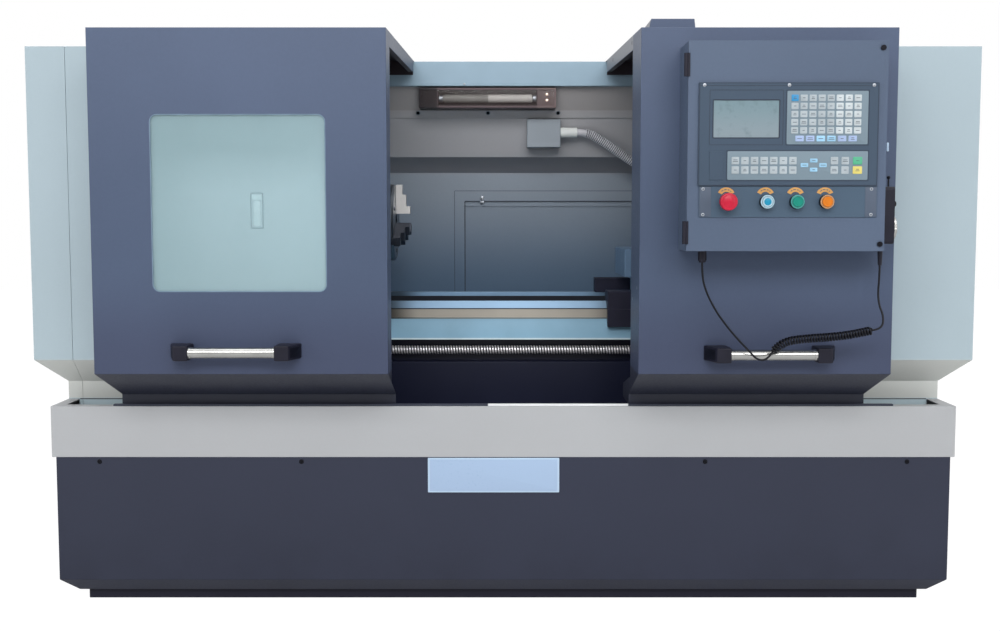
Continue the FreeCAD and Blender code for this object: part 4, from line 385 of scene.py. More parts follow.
ground_metal("ground_steel", (205, 199, 190), 0.30)
ground_metal("dark_steel", (104, 108, 116), 0.36)
ground_metal("chrome", (172, 172, 170), 0.22, depth=0.00001)
ground_metal("zinc", (160, 165, 172), 0.38, 400, 1)
ground_metal("lamp_brass", (224, 196, 180), 0.25, 400, 1)
# The top jaw has the light finish and the two lower jaws the dark one: lit and shaded copies of one
# steel, painted light and shade. The dark finish is also the chuck bolts' blued steel.
ground_metal("jaw_steel", (226, 224, 222), 0.42, 260, 1)
ground_metal("blued_steel_and_jaw_shade", (88, 92, 102), 0.40, 260, 1)
turned_metal("turned_steel", (122, 128, 136), 0.34, middle("chuck_body"), 0.0011)


# %% Plastic and rubber
def moulded(name, colour, roughness, specular=0.5, grain_size=0.0007):
    """Plastic or rubber with the fine grain of its mould."""
    finish = Finish(name, Specular_IOR_Level=specular)
    grain, cloud = finish.noise(1 / grain_size, 2), finish.noise(25, 3)
    finish.coat(finish.mix(cloud.step(0.3, 0.7), linear(colour, 0.9), linear(colour, 1.1)),
                grain.swing(0.2) + cloud.swing(0.1) + roughness, grain, 0.00008)


def grooved(name, colour, groove_shade, roughness, metallic=0.0):
    """A finish that darkens into the grooves of its piece, as painted shade."""
    finish = Finish(name, Metallic=metallic)
    depth = finish.node("ShaderNodeAttribute", {"attribute_name": "groove"}, out="Fac")
    cloud, grain = finish.noise(30, 4), finish.noise(900, 2)
    tone = finish.mix(depth.step(0.1, 0.75), colour, groove_shade)
    finish.coat(finish.scale(tone, cloud.swing(0.4) + 1),
                grain.swing(0.15) + depth * 0.2 + roughness, grain, 0.00004)


# The grooves of the ball screw and the hose's valleys are darker as painted shade.
grooved("screw_steel", (240, 236, 238), (78, 76, 84), 0.3, 0.6)
grooved("conduit_plastic", (216, 216, 222), (104, 104, 112), 0.34)
for name, colour, *amounts in [  # amounts: roughness, specular, grain size
        ("black_plastic", (21, 21, 34), 0.42, 0.22), ("gloss_black", (8, 9, 18), 0.34, 0.15),
        ("cord_rubber", (13, 14, 21), 0.42, 0.18, 0.0012),
        ("wiper_rubber", (34, 34, 50), 0.48, 0.2), ("seal_grey", (112, 132, 150), 0.45, 0.2),
        ("line_dark", (34, 42, 54), 0.5), ("catch_pale", (196, 216, 222), 0.30),
        ("key_white", (182, 190, 194), 0.4), ("key_grey", (158, 168, 174), 0.4),
        ("key_blue", (40, 134, 186), 0.38), ("key_lilac", (144, 162, 196), 0.4),
        ("key_sky", (140, 184, 212), 0.4), ("key_green", (72, 160, 124), 0.38),
        ("key_yellow", (206, 192, 104), 0.38), ("key_ink", (72, 82, 90), 0.5),
        ("stop_red", (178, 20, 50), 0.34, 0.3), ("legend_amber", (192, 142, 78), 0.42),
        ("ring_white", (160, 188, 202), 0.3), ("lens_cyan", (24, 132, 166), 0.3, 0.3),
        ("ring_green", (66, 148, 142), 0.3), ("lens_green", (12, 124, 108), 0.3, 0.3),
        ("ring_orange", (186, 140, 96), 0.3), ("lens_orange", (200, 112, 22), 0.3, 0.3)]:
    moulded(name, colour, *amounts)

# %% [markdown]
# The bed has dark paint low down, darkened further as painted shade under its lip, light
# paint on its lip with a pale line along the lip's lower edge as a painted highlight, and
# ground steel on the ways. The ways' colours are painted reflections and shade: cream on the
# front face, a dark line, sky blue on the V, and painted shade on the channel behind it. They
# are darker towards the ends of the carriage's run, a painted reflection of the dark parts
# there. The door rails are painted above, and bright below where the doors rub them. Each is
# one casting or bar, so one finish changes along it.

# %% Bed and rails
BED_LIP, BED_WAY, REAR_GAP, REAR_WAY = 0.654, 0.711, -0.140, 0.7565
finish = Finish("bed_finish", Specular_IOR_Level=0.3)
along, height = finish.axis("X"), finish.axis("Z")
ground = height.past(BED_WAY, 0.0005)
# Painted shade on the channel behind the V way and the flat way's front face.
rear = finish.axis("Y").past(REAR_GAP, 0.001) * (1 - height.past(REAR_WAY, 0.0005))
# Painted reflection: the ways darker towards the ends of the carriage's run.
dark_end_reflections = along.step(-0.33, -0.24) * (1 - along.step(0.24, 0.36)) * 0.8 + 0.2
streaks, cloud = finish.noise(900, 3, (0.02, 1, 1)), finish.noise(9, 4)
# The lip's lower edge is a pale line, a painted highlight.
lip_paint_and_highlight = finish.bands("Z", (196, 214, 222), (0.6585, 0.0015, (132, 172, 196)))
# Below the lip, dark paint made darker as painted shade of the recess.
paint = finish.mix(height.past(BED_LIP, 0.0005), (13, 18, 42), lip_paint_and_highlight)
# Painted reflections and shade on the ways: the front face cream, a dark line, the V sky blue.
steel = finish.bands("Z", (112, 118, 116), (0.7150, 0.0004, (174, 168, 158)),
                     (0.7385, 0.0004, (28, 30, 38)), (0.7415, 0.0004, (140, 170, 198)))
steel = finish.mix(rear, finish.scale(steel, dark_end_reflections), (24, 26, 34))
finish.coat(finish.scale(finish.mix(ground, paint, steel), cloud.swing(0.3) + 1),
            streaks.swing(0.2) + cloud.swing(0.1) + 0.42, streaks, 0.00006,
            Metallic=ground * (1 - rear) * 0.35)

RUBBED_FROM, RUBBED_TO = -0.039, 0.320
finish = Finish("rail_finish", Specular_IOR_Level=0.3)
along, cloud, grain = finish.axis("X"), finish.noise(8, 4), finish.noise(700, 2, (0.05, 1, 1))
bright = along.past(RUBBED_FROM, 0.002) * (1 - along.past(RUBBED_TO, 0.002))
colour = finish.mix(finish.axis("Z").step(0.9, 1.0),
                    finish.mix(bright, (50, 55, 70), (232, 234, 236)), (150, 175, 192))
finish.coat(finish.scale(colour, cloud.swing(0.2) + 1), grain.swing(0.2) + 0.42, grain, 0.00005)


# %% Glass and display
def sheet_glass(name, colour, alpha):
    """Clear sheet: part of the light passes straight through, the rest shows the tint."""
    finish = Finish(name, Alpha=alpha, IOR=1.5)
    smear = finish.noise(7, 4, (1, 1, 0.35))
    finish.coat(finish.mix(smear.step(0.3, 0.7), colour, linear(colour, 1.05)),
                smear.step(0.4, 0.8) * 0.10 + 0.06, finish.noise(3, 1), 0.0002, 0.1)


# The window's pale tint is partly the glass's own and partly a painted reflection of the white
# room.
sheet_glass("window_glass", (194, 229, 237), 0.22)
sheet_glass("lamp_glass", (104, 92, 90), 0.12)

# The display is unlit: paler towards its foot, with a faint grid of rows.
ROW_PITCH = 0.0022
screen_low, screen_high = corners("screen")
screen_width, _, screen_height = screen_high - screen_low
finish = Finish("display", Specular_IOR_Level=0.3)
level = (finish.axis("Z") - screen_low[2]) * (1 / screen_height)
turns = finish.axis("Z") * (2 * math.pi / ROW_PITCH)
cloud = finish.noise(60, 4)
grey = finish.mix(level.step(0, 1), (126, 140, 148), (112, 134, 142))
finish.coat(finish.mix(cloud.step(0.5, 0.8) * 0.5, grey, (94, 112, 118)), cloud * 0.10 + 0.14,
            finish.math("SINE", turns) * 0.5 + 0.5, 0.00003, 0.4)
print(len(finishes), "finishes")


# %% [markdown]
# ## Making a surface
#
# A new piece is a grid of points: rings along one parameter, points round each ring along
# the other. `skin` closes the rings, caps both ends and joins any number of such grids in one
# mesh. Doubled points at a pole are merged, and the faces are then turned outwards.

# %% From grids to pieces
SHARP = 35  # degrees between two faces, past which their edge is sharp


def grid_faces(rings, around, first):
    """Quads between neighbouring rings, and the two caps."""
    ring, point = np.meshgrid(np.arange(rings - 1), np.arange(around), indexing="ij")
    corner, beside = ring * around + point, ring * around + (point + 1) % around
    quads = np.stack([corner, beside, beside + around, corner + around], axis=-1)
    last = (rings - 1) * around
    caps = [np.arange(around)[::-1] + first, np.arange(around) + first + last]
    return (quads.reshape(-1, 4) + first).tolist() + [cap.tolist() for cap in caps]


def finish_piece(piece, finish, body, slot, replaced):
    """Show a new piece: its finish, what it rides on and the nodes it replaces; slot is not used.
    """
    piece.data.materials.append(finishes[finish])
    link(piece)
    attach(piece, body)
    if replaced:
        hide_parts(*replaced)
    print(piece.name, "on", body)
    return piece


def skin(name, grids, finish, body, slot, replaced=(), sharp=SHARP, groove=None):
    """One piece from arrays of shape (rings, points around, 3); groove tells for each point
    how deep it lies in a groove, from 0 to 1."""
    points, faces = [], []
    for grid in grids:
        faces += grid_faces(grid.shape[0], grid.shape[1], sum(map(len, points)))
        points.append(grid.reshape(-1, 3))
    mesh = bpy.data.meshes.new(name)
    mesh.from_pydata(np.concatenate(points).tolist(), [], faces)
    if groove is not None:
        mesh.attributes.new("groove", "FLOAT", "POINT").data.foreach_set("value", groove.ravel())
    with bmesh_of(mesh) as work:
        bmesh.ops.recalc_face_normals(work, faces=work.faces)
        work.to_mesh(mesh)
    mesh.shade_smooth()
    mesh.set_sharp_from_angle(angle=math.radians(sharp))
    return finish_piece(bpy.data.objects.new(name, mesh), finish, body, slot, replaced)


def carried(node, name, grids, finish, replaced=()):
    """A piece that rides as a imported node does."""
    return skin(name, grids, finish, body_of_node[node], slot_of_node[node], replaced)


def stand_in(node, name, grids, finish):
    """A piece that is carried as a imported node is, and is shown in its place."""
    return carried(node, name, grids, finish, [node])


# %% [markdown]
# Most of the machine is folded sheet and machined blocks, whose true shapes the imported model
# already has. What it lacks is the small round that every real edge has and that catches the
# light. So such a node is copied, its flat faces are joined, and a bevel rounds its edges. A
# node that is round or smooth already only gets its finish.

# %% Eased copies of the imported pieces
def eased(node, finish, width):
    """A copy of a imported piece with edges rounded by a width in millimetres."""
    mesh = bpy.data.meshes.new(node + "_eased")
    with bmesh_of(frame["nodes"][node].data, PACKED_MERGE) as work:
        bmesh.ops.dissolve_limit(work, angle_limit=math.radians(0.4), verts=work.verts,
                                 edges=work.edges)
        bmesh.ops.connect_verts_concave(work, faces=work.faces)
        work.to_mesh(mesh)
    for extra in [item.name for item in mesh.attributes if item.name == "custom_normal"]:
        mesh.attributes.remove(mesh.attributes[extra])
    mesh.shade_smooth()
    mesh.set_sharp_from_angle(angle=math.radians(SHARP))
    piece = bpy.data.objects.new(node + "_eased", mesh)
    rounding = piece.modifiers.new("rounded_edges", "BEVEL")
    rounding.width = width / 1000
    rounding.segments = 2
    rounding.limit_method = "ANGLE"
    rounding.angle_limit = math.radians(SHARP)
    rounding.harden_normals = True
    finish_piece(piece, finish, body_of_node[node], slot_of_node[node], [node])


EASED = {  # finish: {node: edge round in millimetres}
    "plinth_paint": {"plinth": 2}, "base_paint": {"base_cabinet": 1.5},
    "tray_paint": {"chip_tray": 1.3}, "rail_finish": {"door_rails": 0.8},
    "cover_paint": {"left_end_cover": 1.1, "headstock_cover": 1.1, "right_end_cover": 1.1},
    "wall_paint": {"rear_wall": 1.2, "rear_hatch": 1.0}, "lamp_shell": {"lamp_housing": 1.5},
    "bed_finish": {"bed": 1.0}, "wiper_rubber": {"way_wipers": 1.5},
    "casting_paint": {"headstock": 5, "saddle": 1.5, "tailstock_body": 3},
    "post_paint": {"cross_slide": 2, "tool_post": 1.5},
    "door_paint": {"left_door_panel": 1.1, "right_door_panel": 1.1, "cable_duct": 1.1},
    "box_paint": {"control_box": 1.1, "control_box_door": 1.2},
    "unit_paint": {"controller_unit": 0.6}, "switch_film": {"switch_plate": 0.6},
    "black_plastic": {"control_box_hinges": 0.8, "left_handle_ends": 3, "right_handle_ends": 3,
                      "pendant_body": 1.5},
    "gloss_black": {"upper_lock": 0.8, "lower_lock": 0.8}, "dark_steel": {"feed_drive": 2},
    # jaw_1 is painted in light, jaw_2 and jaw_3 in shade.
    "jaw_steel": {"jaw_1": 1.2}, "blued_steel_and_jaw_shade": {"jaw_2": 1.2, "jaw_3": 1.2},
    "turned_steel": {"chuck_body": 1.0}, "box_shell_grey": {"junction_boxes": 2},
}
for finish, widths in EASED.items():
    for node, width in widths.items():
        eased(node, finish, width)

PLAIN = {"left_door_glass": "window_glass", "screen": "display", "cord_plug": "black_plastic",
         "spindle": "dark_steel", "tailstock_quill": "ground_steel",
         "tailstock_handwheel": "dark_steel"}
for node, finish in PLAIN.items():
    frame["nodes"][node].data.materials.clear()
    frame["nodes"][node].data.materials.append(finishes[finish])


# %% [markdown]
# ## Cords and hoses
#
# A cord is one smooth curve. Its route is a short list of points, and a quadratic spline
# with them as control points gives the line that the cord really takes. A bevelled curve
# could show a plain cord, but the curl is a helix about that line, which opens over its first
# turn and closes over its last. So a mesh tube follows points that are read from the spline.

# %% Routes
def unit(vectors):
    return vectors / np.linalg.norm(vectors, axis=-1, keepdims=True)


def runs(line):
    """The distance from each point of a line to the next."""
    return np.linalg.norm(np.diff(line, axis=0), axis=1)


def line_length(line):
    return float(runs(line).sum())


def read_line(line, reach, places):
    """Points at the given places along a line; reach is the place of each of its points."""
    return np.stack([np.interp(places, reach, part) for part in line.T], axis=1)


def spline_line(points, step):
    """Points read from the smooth spline of a route, a step apart along it."""
    data = bpy.data.curves.new("route", "CURVE")
    data.dimensions = "3D"
    data.resolution_u = 24
    spline = data.splines.new("NURBS")
    spline.points.add(len(points) - 1)
    for point, place in zip(spline.points, points):
        point.co = (*place, 1)
    spline.order_u = 3
    spline.use_endpoint_u = True
    holder = bpy.data.objects.new("route", data)
    read = bpy.data.meshes.new_from_object(holder)
    line = np.array([vertex.co for vertex in read.vertices])
    bpy.data.objects.remove(holder)
    bpy.data.curves.remove(data)
    bpy.data.meshes.remove(read)
    reach = np.concatenate([[0], np.cumsum(runs(line))])
    steps = max(1, int(round(reach[-1] / step)))
    return read_line(line, reach, np.linspace(0, reach[-1], steps + 1))


def beside_line(line):
    """A direction square to a line that stays near the plane of the doors."""
    return unit(np.cross(np.gradient(line, axis=0), BACK))


def tube(line, beside, radius, sides=12):
    """Rings about a line: centre + radius (cos a * beside + sin a * across)."""
    heading = unit(np.gradient(line, axis=0))
    beside = unit(beside - heading * np.sum(beside * heading, axis=1, keepdims=True))
    across = np.cross(heading, beside)
    angle = np.linspace(0, 2 * np.pi, sides, endpoint=False)[None, :, None]
    radius = np.broadcast_to(np.asarray(radius, float), (len(line),))[:, None, None]
    return line[:, None] + radius * (np.cos(angle) * beside[:, None]
                                     + np.sin(angle) * across[:, None])


# %% Pendant cord
CORD_RADIUS = 0.0024
CURL_RADIUS, CURL_PITCH, CURL_STRAIGHT, CURL_STEPS = 0.0081, 0.0065, 2 * CORD_RADIUS, 24
CORD_STEP, CURL_STEP = 0.004, 0.0002
LEAD_POINTS = [
    (0.880, -0.822, 0.893), (0.880, -0.822, 0.862), (0.877, -0.823, 0.829),
    (0.8785, -0.829, 0.799), (0.886, -0.839, 0.776), (0.881, -0.84928, 0.7476),
    (0.863, -0.850, 0.744),
]
CURL_POINTS = [
    (0.863, -0.850, 0.744), (0.838, -0.851, 0.739), (0.802, -0.852, 0.732),
    (0.757, -0.852, 0.727), (0.707, -0.852, 0.724), (0.664, -0.852, 0.719),
    (0.638, -0.852, 0.707), (0.622, -0.852, 0.687),
]
TAIL_POINTS = [
    (0.622, -0.852, 0.687), (0.610, -0.852, 0.672), (0.590, -0.850, 0.674),
    (0.572, -0.846, 0.694), (0.545, -0.843, 0.722), (0.517, -0.841, 0.755),
    (0.490, -0.839, 0.794), (0.469, -0.837, 0.838), (0.462, -0.835, 0.873),
    (0.462, -0.835, 0.900),
]


def curl(points):
    """A helix: line + opening * radius (cos t * beside + sin t * across), t growing by one
    turn each pitch, with its own outward direction at each point."""
    wound = line_length(spline_line(points, 0.001)) - 2 * CURL_STRAIGHT
    turns = int(wound / CURL_PITCH)
    line = spline_line(points, CURL_STEP)
    line = read_line(line, np.linspace(0, line_length(line), len(line)),
                     np.linspace(CURL_STRAIGHT, CURL_STRAIGHT + wound, turns * CURL_STEPS + 1))
    turn = np.linspace(0, turns, len(line))
    opening = np.clip(np.minimum(turn, turns - turn), 0, 1)
    opening = opening * opening * (3 - 2 * opening)
    beside = beside_line(line)
    across = np.cross(unit(np.gradient(line, axis=0)), beside)
    angle = (2 * np.pi * turn)[:, None]
    outward = np.cos(angle) * beside + np.sin(angle) * across
    print("curly cord:", turns, "turns")
    return line + CURL_RADIUS * opening[:, None] * outward, outward


lead, tail = spline_line(LEAD_POINTS, CORD_STEP), spline_line(TAIL_POINTS, CORD_STEP)
curled, curl_beside = curl(CURL_POINTS)
cord_line = np.concatenate([lead, curled, tail[1:]])
cord_beside = np.concatenate([beside_line(lead), curl_beside, beside_line(tail)[1:]])
pendant_cord = skin("pendant_cord", [tube(cord_line, cord_beside, CORD_RADIUS)], "cord_rubber",
                    "right_door", "cord_black", ["cord_lead", "curly_cord", "cord_tail"], 60)
print("pendant cord:", round(line_length(cord_line), 3), "m")


# %% [markdown]
# The hose to the lamp side is ribbed plastic: its radius goes up and down along the route,
# with flat tops and narrow valleys, and its ends run plain into their fittings.

# %% Ribbed hose
HOSE_RADIUS, HOSE_VALLEY, HOSE_RIB, HOSE_PLAIN_END = 0.014, 0.0116, 0.0064, 0.028
HOSE_STRAIGHT, HOSE_RUN, HOSE_DROP, HOSE_SIDES = 0.0336, 0.340, 0.165, 28
HOSE_BENDS = [(0.072, 0.022), (0.120, 0.054), (0.175, 0.091), (0.225, 0.124), (0.268, 0.150)]
hose_start = np.array([0.240, 0.197, 1.2755])
hose_route = [(0, 0), (HOSE_STRAIGHT, 0), *HOSE_BENDS, (HOSE_RUN - HOSE_STRAIGHT, HOSE_DROP),
              (HOSE_RUN, HOSE_DROP)]
hose_line = spline_line([hose_start + along * RIGHT - down * UP for along, down in hose_route],
                        HOSE_RIB / 8)
reach = np.linspace(0, line_length(hose_line), len(hose_line))
ribbed = np.minimum(reach, reach[-1] - reach) > HOSE_PLAIN_END
rib_height = np.clip(2.4 - 2.8 * np.abs(2 * (reach / HOSE_RIB % 1) - 1), 0, 1)
hose_radius = HOSE_VALLEY + (HOSE_RADIUS - HOSE_VALLEY) * rib_height * ribbed
skin("conduit", [tube(hose_line, beside_line(hose_line), hose_radius, HOSE_SIDES)],
     "conduit_plastic", "machine", "conduit_grey", ["conduit_hose"], 60,
     np.repeat((1 - rib_height) * ribbed, HOSE_SIDES))
print("conduit:", round(line_length(hose_line), 3), "m")


# %% [markdown]
# ## Round pieces
#
# A turned piece is a profile of (place along the axis, radius) carried round that axis. A
# cylinder with a bevel would do for plain ones, but where a socket or a knurl breaks the
# circle, the radius has to be multiplied by a function of the angle. A facing says which way
# a piece looks: its directions across, up and outwards.

# %% Turned pieces
FRONT = (RIGHT, UP, -BACK)
SIDE = (BACK, UP, RIGHT)


def facing_along(outward, across=RIGHT):
    """The facing of something that looks along outward."""
    outward = np.asarray(outward, float) / np.linalg.norm(outward)
    return across, np.cross(outward, across), outward


def placed(centre, facing, *amounts):
    """Points that lie the given amounts across, up and outwards from centre."""
    return np.asarray(centre) + sum(np.asarray(amount)[..., None] * direction
                                    for amount, direction in zip(amounts, facing))


def circle(sides):
    """Even angles round one turn."""
    return np.linspace(0, 2 * np.pi, sides, endpoint=False)


def turned(profile, centre, facing, sides=48, waves=1.0):
    """Rings of a profile, with its heights along the outward direction; waves multiplies
    each radius, as a function of the ring and of the angle."""
    height, radius = np.array(profile, float).T
    reach, angle = radius[:, None] * waves, circle(sides)
    return placed(centre, facing, reach * np.cos(angle), reach * np.sin(angle),
                  height[:, None])


def barrel(node):
    """Middle of the left end, length and radius of a round node that lies along X."""
    low, high = corners(node)
    return (np.array([low[0], *(low + high)[1:] / 2]), high[0] - low[0],
            (high[2] - low[2]) / 2)


def screw(centre, facing, radius, height, sides=24):
    """A domed head with a hexagon socket, whose radius grows from the middle of each flat
    by 1 / cos of the angle to it."""
    profile = [(0, radius), (0.45 * height, radius), (0.85 * height, 0.88 * radius),
               (height, 0.62 * radius), (height, 0.46 * radius), (0.25 * height, 0.44 * radius)]
    waves = np.ones((len(profile), sides))
    waves[-2:] = 1 / np.cos((circle(sides) + np.pi / 6) % (np.pi / 3) - np.pi / 6)
    return turned(profile, centre, facing, sides, waves)


# %% [markdown]
# The ball screw's groove winds once round for each lead, so the depth of the groove depends
# on the place along the axis less the angle's share of the lead. Its two ends are plain.

# %% Ball screw
SCREW_LEAD, SCREW_STEPS, SCREW_SIDES, SCREW_GROOVE, SCREW_PLAIN_END = 0.008, 10, 20, 0.0021, 0.032
start, length, radius = barrel("ball_screw")
along = np.arange(0, length, SCREW_LEAD / SCREW_STEPS)
phase = (along[:, None] / SCREW_LEAD - circle(SCREW_SIDES) / (2 * np.pi)) % 1
# 1 along the middle of the groove and 0 on the land beside it.
groove = np.clip(1.35 - np.abs(2 * phase - 1) * 2.2, 0, 1)
groove[np.minimum(along, along[-1] - along) < SCREW_PLAIN_END] = 0
thread = radius - SCREW_GROOVE * groove * groove * (3 - 2 * groove)
along[-1] = length
skin("feed_screw", [turned([(place, 1) for place in along], start, SIDE, SCREW_SIDES, thread)],
     "screw_steel", "ball_screw", "ground_steel", ["ball_screw"], 50, groove)
print("ball screw:", int(length / SCREW_LEAD), "turns")


# %% [markdown]
# ## Flat pieces with round corners
#
# Keys, plates and covers are one outline, a rectangle with arcs for corners, repeated in
# rings that step in and up over the rounded front edge. A rim's rings go round its section
# and meet again, so it needs no caps.

# %% Plates
def outline(width, height, radius, steps):
    """A rectangle with arcs at its corners: corner centre + radius (cos a, sin a)."""
    turn = np.linspace(0, np.pi / 2, steps + 1)
    angle = (turn + np.arange(4)[:, None] * np.pi / 2).ravel()
    sign_x = np.repeat([1, -1, -1, 1], steps + 1)
    sign_y = np.repeat([1, 1, -1, -1], steps + 1)
    return np.stack([sign_x * (width / 2 - radius) + radius * np.cos(angle),
                     sign_y * (height / 2 - radius) + radius * np.sin(angle)], axis=1)


def stepped(centre, facing, width, height, corner, section, steps):
    """One outline for each pair of a section: how far out it lies, and how far up."""
    flat = np.stack([outline(width + 2 * out, height + 2 * out, max(corner + out, 1e-4), steps)
                     for out, rise in section])
    return placed(centre, facing, flat[..., 0], flat[..., 1],
                  np.array([rise for out, rise in section])[:, None])


def plate(centre, width, height, thickness, corner, ease, steps=4, facing=FRONT):
    """A plate that rises from centre by its thickness, its front edge eased."""
    sweep = np.linspace(0, np.pi / 2, 4)
    edge = zip(-ease * (1 - np.cos(sweep)), thickness - ease + ease * np.sin(sweep))
    return stepped(centre, facing, width, height, corner, [(0, 0), *edge], steps)


def frame_ring(centre, width, height, corner, section, steps=6):
    """A closed rim: the section (out from the outline, up from the plane) carried round it."""
    return stepped(centre, FRONT, width, height, corner, section + section[:1], steps)


def rim(name, grids, finish, body, slot):
    """A piece from closed rims, so its caps are left out."""
    piece = skin(name, grids, finish, body, slot)
    with bmesh_of(piece.data) as work:
        caps = [face for face in work.faces if len(face.verts) > 4]
        bmesh.ops.delete(work, geom=caps, context="FACES_ONLY")
        bmesh.ops.recalc_face_normals(work, faces=work.faces)
        work.to_mesh(piece.data)


def hairline(half_width, rise):
    """The section of a fine raised line."""
    return [(-half_width, 0), (-half_width, rise), (half_width, rise), (half_width, 0)]


def back_middle(low, high):
    """Middle of a box's back face, from which a piece on a front face rises."""
    return np.array([(low[0] + high[0]) / 2, high[1], (low[2] + high[2]) / 2])


# %% [markdown]
# ## Doors
#
# The window is a clear pane behind the sheet, with a thin pale seal along the cut edge. A
# pull catch sits on the fixed cover behind it. Each door has a chrome bar with a narrow
# collar at each end, and on the sloping outer end of each bracket a thin dark plate stands
# for a square pocket, its dark colour painted shade. The doors' roofs end at the rear in a
# hem that hangs over the rail, painted dark as the roof's shadow on the fascia.

# %% Window and catch
door_front = corners("left_door_panel")[0][1]
seal = [(-0.0022, -0.0005), (-0.0016, 0.0004), (0.0, 0.0004), (0.0004, 0.0), (0.0, -0.0004),
        (0.0, -0.0028), (-0.0022, -0.0028)]
WINDOW_WIDTH, WINDOW_HEIGHT, WINDOW_CORNER = 0.416, 0.421, 0.018
rim("window_seal", [frame_ring((-0.630, door_front, 1.0375), WINDOW_WIDTH, WINDOW_HEIGHT,
                               WINDOW_CORNER, seal)], "seal_grey", "left_door", "cover_paint")

CATCH = np.array([-0.6345, -0.5455, 1.022])
catch_rim = [(-0.0015, 0.0), (-0.0015, 0.0012), (0.0, 0.0018), (0.0012, 0.0)]
rim("catch_frame", [frame_ring(CATCH, 0.031, 0.090, 0.002, catch_rim)], "unit_paint",
    "machine", "dark_steel")
skin("catch_lever", [
    plate(CATCH - 0.008 * UP, 0.018, 0.066, 0.0028, 0.008, 0.0012, 6),
    plate(CATCH + 0.033 * UP, 0.025, 0.014, 0.0035, 0.002, 0.001)],
    "catch_pale", "machine", "bright_chrome")

# %% Handles and roof hems
BRACKET_SLOPE, COLLAR = 0.022, 0.006
HEM_PLACE, HEM_FOOT, HEM_TOP, SHEET = 0.0830, 1.4445, 1.4872, 0.0025
for side in ("left", "right"):
    bar, panel = f"{side}_handle_bar", f"{side}_door_panel"
    start, length, radius = barrel(bar)
    profile = [(0, radius), (COLLAR, radius), (COLLAR + 0.0005, radius * 0.95)]
    profile += [(length - place, reach) for place, reach in reversed(profile)]
    stand_in(bar, f"{side}_grip", [turned(profile, start, SIDE)], "chrome")

    # Each pocket is a thin dark plate on the bracket's slope, its darkness painted shade of a
    # pocket.
    pocket_shades = []
    for low, high in islands(f"{side}_handle_ends"):
        outer = 1 if low[0] > start[0] + length / 2 else -1
        centre = (low + high) / 2
        centre[0] = (high[0] if outer > 0 else low[0]) - outer * BRACKET_SLOPE / 2
        slope = facing_along((outer * (high[1] - low[1]), -BRACKET_SLOPE, 0), UP)
        pocket_shades.append(plate(centre, 0.024, 0.046, 0.0006, 0.003, 0.0004, facing=slope))
    carried(f"{side}_handle_ends", f"{side}_bracket_pocket_shades", pocket_shades, "gloss_black")

    # The hem is dark as the painted shadow of the roof on the fascia.
    low, high = corners(panel)
    centre = ((low[0] + high[0]) / 2, HEM_PLACE, (HEM_FOOT + HEM_TOP) / 2)
    carried(panel, f"{side}_roof_hem", [
        plate(centre, high[0] - low[0] - 0.4 * SHEET, HEM_TOP - HEM_FOOT, SHEET, 0.0006,
              0.0004)], "roof_primer")

# %% [markdown]
# ## Covers and rear wall
#
# Behind the rear wall a folded panel closes the right cover's inner side: its edge, a list of
# (Y, Z), is given twice, a sheet's thickness apart. Where a cover stands on the tray, a dark
# joint shows over the apron that hangs into it. The hatch in the rear wall is framed by two
# fine dark joints and held by a small latch.

# %% Panel, joints and latch
COVER_MOUTH, PANEL_THICKNESS = 0.6102, 0.0020
panel_edge = np.array([
    (0.3320, 0.5225), (0.4772, 0.5225), (0.4772, 0.5703), (0.5402, 0.6343),
    (0.5402, 1.4372), (0.1320, 1.4372), (0.1320, 1.4140), (0.2020, 1.3220),
    (0.2600, 1.2000), (0.3320, 1.1510)])
panel = np.stack([np.column_stack([np.full(len(panel_edge), place), panel_edge])
                  for place in (COVER_MOUTH + PANEL_THICKNESS, COVER_MOUTH)])
skin("right_corner_panel", [panel], "cover_paint", "machine", "cover_paint")

SKIRT_FRONT, TRAY_TOP = -0.480, 0.522
SKIRT_SPANS = ((-1.128, -0.421), (0.611, 1.128))
skin("cover_foot_joints", [
    plate(((start + end) / 2, SKIRT_FRONT, TRAY_TOP), end - start, 0.0026, 0.0004,
          0.0004, 0.0002, 1)
    for start, end in SKIRT_SPANS], "line_dark", "machine", "cover_paint")

WALL_FRONT, HATCH_PROUD = 0.330, 0.004
rim("hatch_joints", [
    frame_ring((0.1975, WALL_FRONT - proud, 0.8985), width, height, 0.001,
               hairline(0.0014, 0.0005), 2)
    for proud, width, height in ((0, 0.713, 0.385), (HATCH_PROUD, 0.645, 0.317))],
    "line_dark", "machine", "dark_steel")
LATCH = np.array([-0.067, 0.322, 1.068])
skin("hatch_latch", [
    plate(LATCH, 0.010, 0.015, 0.004, 0.003, 0.001),
    plate(LATCH - 0.014 * UP, 0.014, 0.008, 0.003, 0.003, 0.001),
    turned([(0, 0.0042), (0.006, 0.0038), (0.007, 0.0)], LATCH, FRONT, 20)],
    "zinc", "machine", "screw_zinc")


# %% [markdown]
# ## Controller
#
# Each key is a small pillow, in the colour of its kind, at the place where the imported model
# has it. The kinds are told apart by their sizes in millimetres. Legends are left as plain
# strokes, thin plates of their own, because a picture on the keys would blur from near by.
# The films under the keys, the fine grooves round them and the display's bezel are thin
# plates and rims on the unit's face too.

# %% Keys
KEY_KINDS = {(19.0, 13.0): "wide", (17.0, 9.0): "arrow", (21.0, 17.0): "start",
             (16.0, 14.5): "letter", (17.0, 17.0): "mode"}
NUMBER_KEYS, TALL_KEY, KEY_SLACK = 15, 0.010, 0.002
KEY_CORNER, KEY_EASE = 0.0016, 0.0007
STROKE_HEIGHT, STROKE_RISE, STROKE_ROWS = 0.0014, 0.0002, 0.0035
keys = {}
for low, high in islands("control_keys"):
    width, height = np.round((high - low)[[0, 2]] * 1000, 1)
    keys.setdefault(KEY_KINDS[width, height], []).append((low, high))
for kind in keys.values():
    kind.sort(key=lambda box: (round(-box[0][2], 4), box[0][0]))

